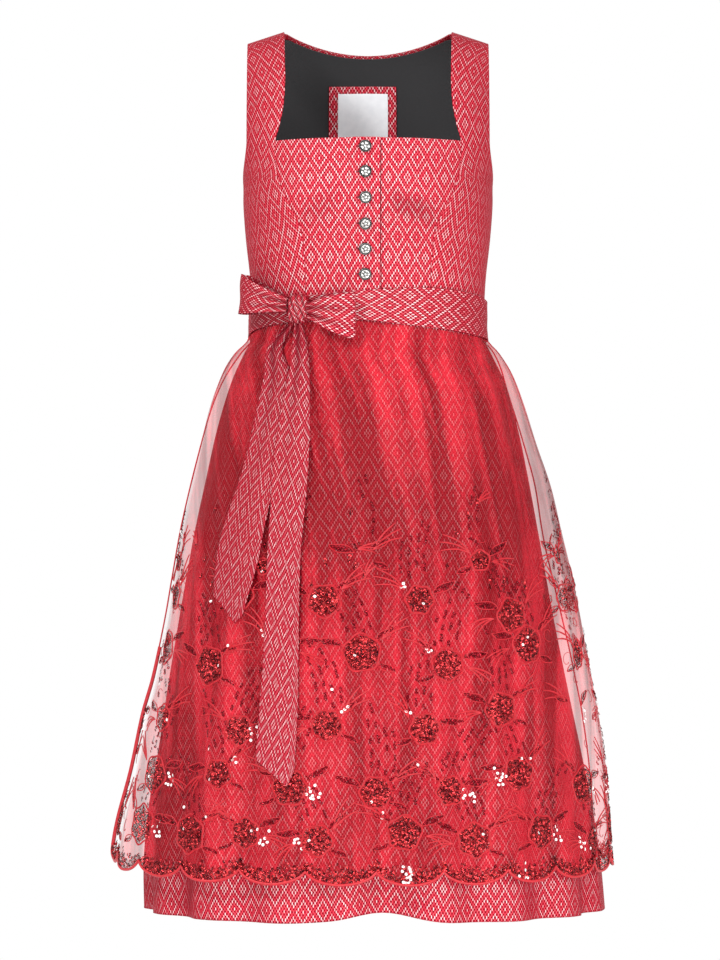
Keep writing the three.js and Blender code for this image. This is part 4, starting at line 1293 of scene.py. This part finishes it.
# %% Tails
LONG_TAIL = np.array([
    # z, right edge, left edge, off the apron
    (-348, -87, -77, 12), (-376, -89.5, -71, 10), (-400, -92, -69, 7.5), (-444, -101, -68, 5), (-499, -110, -69, 4.4),
    (-556, -114, -73, 3.2), (-624, -118, -79, 1.2), (-738, -122, -81, 0.8), (-805, -127, -82, 0.8),
    (-887, -133, -87, 0.8)])
SHORT_TAIL = np.array([
    (-349, -98, -86, 6.5), (-376, -119, -101, 4), (-407, -123, -92, 2), (-462, -134, -96, 1), (-520, -148, -106, 0.8),
    (-590, -171, -122, 0.8), (-628, -179, -129, 0.8), (-700, -183, -150, 0.8)])


def tail_piece(name, table, left, tip, right, tip_at):
    edge_a, edge_b, off = (curve(table, k) for k in range(1, 4))
    across = np.linspace(0, 1, 25)[None, :]
    down = np.linspace(0, 1, 120)[:, None]
    foot = np.where(across < tip_at, mix(left, tip, across / tip_at),
                    mix(tip, right, (across - tip_at) / (1 - tip_at)))
    z = mix(table[0, 0], foot, down)

    def place(z, shift=0.0):
        x = mix(edge_a(z), edge_b(z), across) + shift
        depth = np.clip((WAIST - z) / (WAIST - HEM), 0, 1)
        pleat = 1.9 * np.exp((z - table[0, 0]) / 70.0) * np.cos(across * 9) + 0.5 * np.sin(across * 3.1 + z / 70)
        clear = off(z) + 1.6 + 1.6 * (1 - 0.45 * depth) + 5.5 * depth ** 1.2 + pleat
        side = np.where(x < 0, apron_right(z), apron_left(z)) + clear
        return np.stack([x, -(apron_front(z) + clear) * share_forward(x / side, 2.1), z + 0 * x], -1)

    points = place(z)
    normals = unit(np.cross(place(z, 1.0) - place(z, -1.0), place(z) - place(z - 1.0)))
    uv = uv_of(points, 0.0, (6.0, 0.0))
    # Painted shade: the top of each tail, under the knot, and the bottoms of its pleats are darker, fading out
    # downwards.
    tail_top_shade = np.exp((z - table[0, 0]) / 75.0)
    hollow = np.clip(tail_top_shade * (0.35 + np.clip(-np.cos(across * 9), 0, 1) * 1.1), 0, 1)
    cloth(name, (points, normals), uv, tail_cloth, "sash_cloth", ["bow_knot"], "hung", thick=1.2, edge=0.35,
          hollow=hollow)


tail_piece("bow_tail_long", LONG_TAIL, -856, -887, -868, 0.85)
tail_piece("bow_tail_short", SHORT_TAIL, -669, -700, -691, 0.8)
print("tail cuts", cut_list[-2:])

# %% [markdown]
# ## Buttons and buttonholes
# The buttons are cast: a dome with a rim like a cord and a plain rosette. The dome's height is a function of radius
# and angle. The finish darkens the low places: partly the tarnish of old silver in the rosette's hollows, partly
# painted shade in the groove and outline at the rim and on the underside. Dark thread edges the buttonholes, and one
# row of it runs down the edge of the lap as a painted shadow line of the lap's edge.

# %% Buttons
BUTTON_HEIGHTS = [-140.5 - 29.8 * i for i in range(6)]


def button_piece(index, z):
    x = -3.4
    theta = np.array(float(front_theta(x / half(z), power(z))))
    normal = normals_of(bodice_point, theta, np.array(float(z)))
    base = bodice_point(theta, np.array(float(z))) + normal * 2.7
    r = np.concatenate([[0.05], np.linspace(0.5, 7.25, 26), [7.3, 6.9, 6.4, 3.4, 3.2, 0.05]])[:, None]
    a = np.linspace(0, 2 * np.pi, 72, endpoint=False)[None, :]
    petals = np.clip(np.cos(a * 5 + 0.6), -0.4, 1) * np.exp(-((r - 3.6) / 1.3) ** 2)
    rim = np.exp(-((r - 6.6) / 0.42) ** 2) * (0.75 + 0.25 * np.cos(a * 36))
    eye = np.exp(-(r / 1.1) ** 2)
    height = 3.2 + 1.1 * (1 - (r / 7.3) ** 2) + 0.55 * petals + 0.55 * rim + 0.5 * eye - 0.3
    # Painted shade: the groove inside the rim and the button's outer edge.
    moat = np.exp(-((r - 5.7) / 0.6) ** 2) + np.exp(-((r - 7.4) / 0.9) ** 2)
    ring = np.exp(-((r - 2.0) / 0.55) ** 2)
    # Darkened places: tarnish in the petal valleys and the middle ring, painted shade at the rim.
    low = np.clip(1.3 * moat + 1.9 * np.clip(-petals, 0, 1) + 0.9 * ring + 0.04, 0, 1) + 0 * a
    under = [2.4, 1.9, 1.6, 1.4, 0.1, 0.0]
    height = height + 0 * a
    height[-6:] = np.array(under)[:, None]
    # Painted shade on the underside, where the button meets the cloth.
    low[-6:] = 0.7
    flat_x, flat_y = r * np.cos(a), r * np.sin(a)
    side = unit(np.cross([0, 0, 1.0], normal))
    up = np.cross(normal, side)
    points = base + flat_x[..., None] * side + flat_y[..., None] * up + height[..., None] * normal
    faces = capped_rings(*points.shape[:2])
    piece = build_mesh("button_%d_silver" % index, points.reshape(-1, 3), faces, None, silver)
    mark(piece, "hollow", low)
    settle(piece, ["button_%d" % index])


for index, z in enumerate(BUTTON_HEIGHTS, 1):
    button_piece(index, z)
print(len(BUTTON_HEIGHTS), "buttons")


# %% Buttonholes
def on_front(x, z, out):
    theta = front_theta(x / half(z), power(z))
    return bodice_point(theta, z) + normals_of(bodice_point, theta, z) * (out + lap(x))[:, None]


slots = []
a = np.linspace(0, 2 * np.pi, 25)
for z0 in BUTTON_HEIGHTS:
    slots.append(on_front(-10.2 + 3.4 * np.cos(a), z0 + 0.6 * np.sin(a), 0.1))
# A dark row of thread down the lap's edge: a painted shadow line of the lap.
slots.append(on_front(np.full(60, 14.8), np.linspace(-134, -318, 60), -2.1))
thread_piece("buttonhole_threads", slots, 0.6, 5, dark_thread)
print(len(slots) - 1, "buttonholes and the row down the lap")

# %% [markdown]
# ## Stage, light and camera
# A pale floor, an even white surround and three soft lamps give the light of a product photograph: one from the
# upper left, one from the right and one near the hem. The camera stands far off at half height, so the shapes are
# seen almost straight on.

# %% Stage
floor_mesh = bpy.data.meshes.new("floor")
corners = [(2.2 * x, 2.2 * y, -1.45) for x, y in ((-1, -1), (1, -1), (1, 1), (-1, 1))]
floor_mesh.from_pydata(corners, [], [(0, 1, 2, 3)])
floor = bpy.data.objects.new("floor", floor_mesh)
floor_paint = Shader("pale_floor")
floor_paint.set(Base_Color=srgb(240, 240, 240), Roughness=0.9)
floor_mesh.materials.append(floor_paint.material)
scene.collection.objects.link(floor)

world = bpy.data.worlds.new("studio")
world.use_nodes = True
world.node_tree.nodes["Background"].inputs[0].default_value = (1, 1, 1, 1)
world.node_tree.nodes["Background"].inputs[1].default_value = 1.0
scene.world = world


def lamp(name, place, aim, size, power_w):
    data = bpy.data.lights.new(name, "AREA")
    data.shape, data.size, data.energy = "DISK", size, power_w
    made = bpy.data.objects.new(name, data)
    made.location = place
    ahead = np.array(aim) - np.array(place)
    made.rotation_euler = (math.atan2(math.hypot(ahead[0], ahead[1]), -ahead[2]), 0,
                           math.atan2(-ahead[0], ahead[1]))
    scene.collection.objects.link(made)


lamp("key", (-2.2, -2.3, 1.9), (0, 0, -0.5), 0.8, 88)
lamp("fill", (2.4, -2.4, -0.3), (0, 0, -0.7), 1.6, 42)
lamp("low", (0.3, -3.0, -1.1), (0, 0, -0.95), 1.2, 39)
scene.view_settings.view_transform = "Standard"
print(len(bpy.data.lights), "lamps")

# %% Camera
# the picture's size and where the origin falls in it, in pixels of 1.2 mm
PIXEL, PICTURE, ORIGIN = 1.2, (720, 960), (368, 36)
distance = 6.0
camera_data = bpy.data.cameras.new("camera")
camera_data.sensor_fit = "VERTICAL"
camera_data.sensor_height = 36
camera_data.lens = camera_data.sensor_height * distance / (PICTURE[1] * PIXEL * mm)
camera = bpy.data.objects.new("camera", camera_data)
camera.location = ((PICTURE[0] / 2 - ORIGIN[0]) * PIXEL * mm, -distance, (ORIGIN[1] - PICTURE[1] / 2) * PIXEL * mm)
camera.rotation_euler = (math.pi / 2, 0, 0)
scene.collection.objects.link(camera)
scene.camera = camera
print("the camera is", distance, "m away, with a lens of", round(camera_data.lens), "mm")

# %% Sizes
for name, wide, long, area in cut_list:
    print(name, wide, "by", long, "m,", area, "square metres")
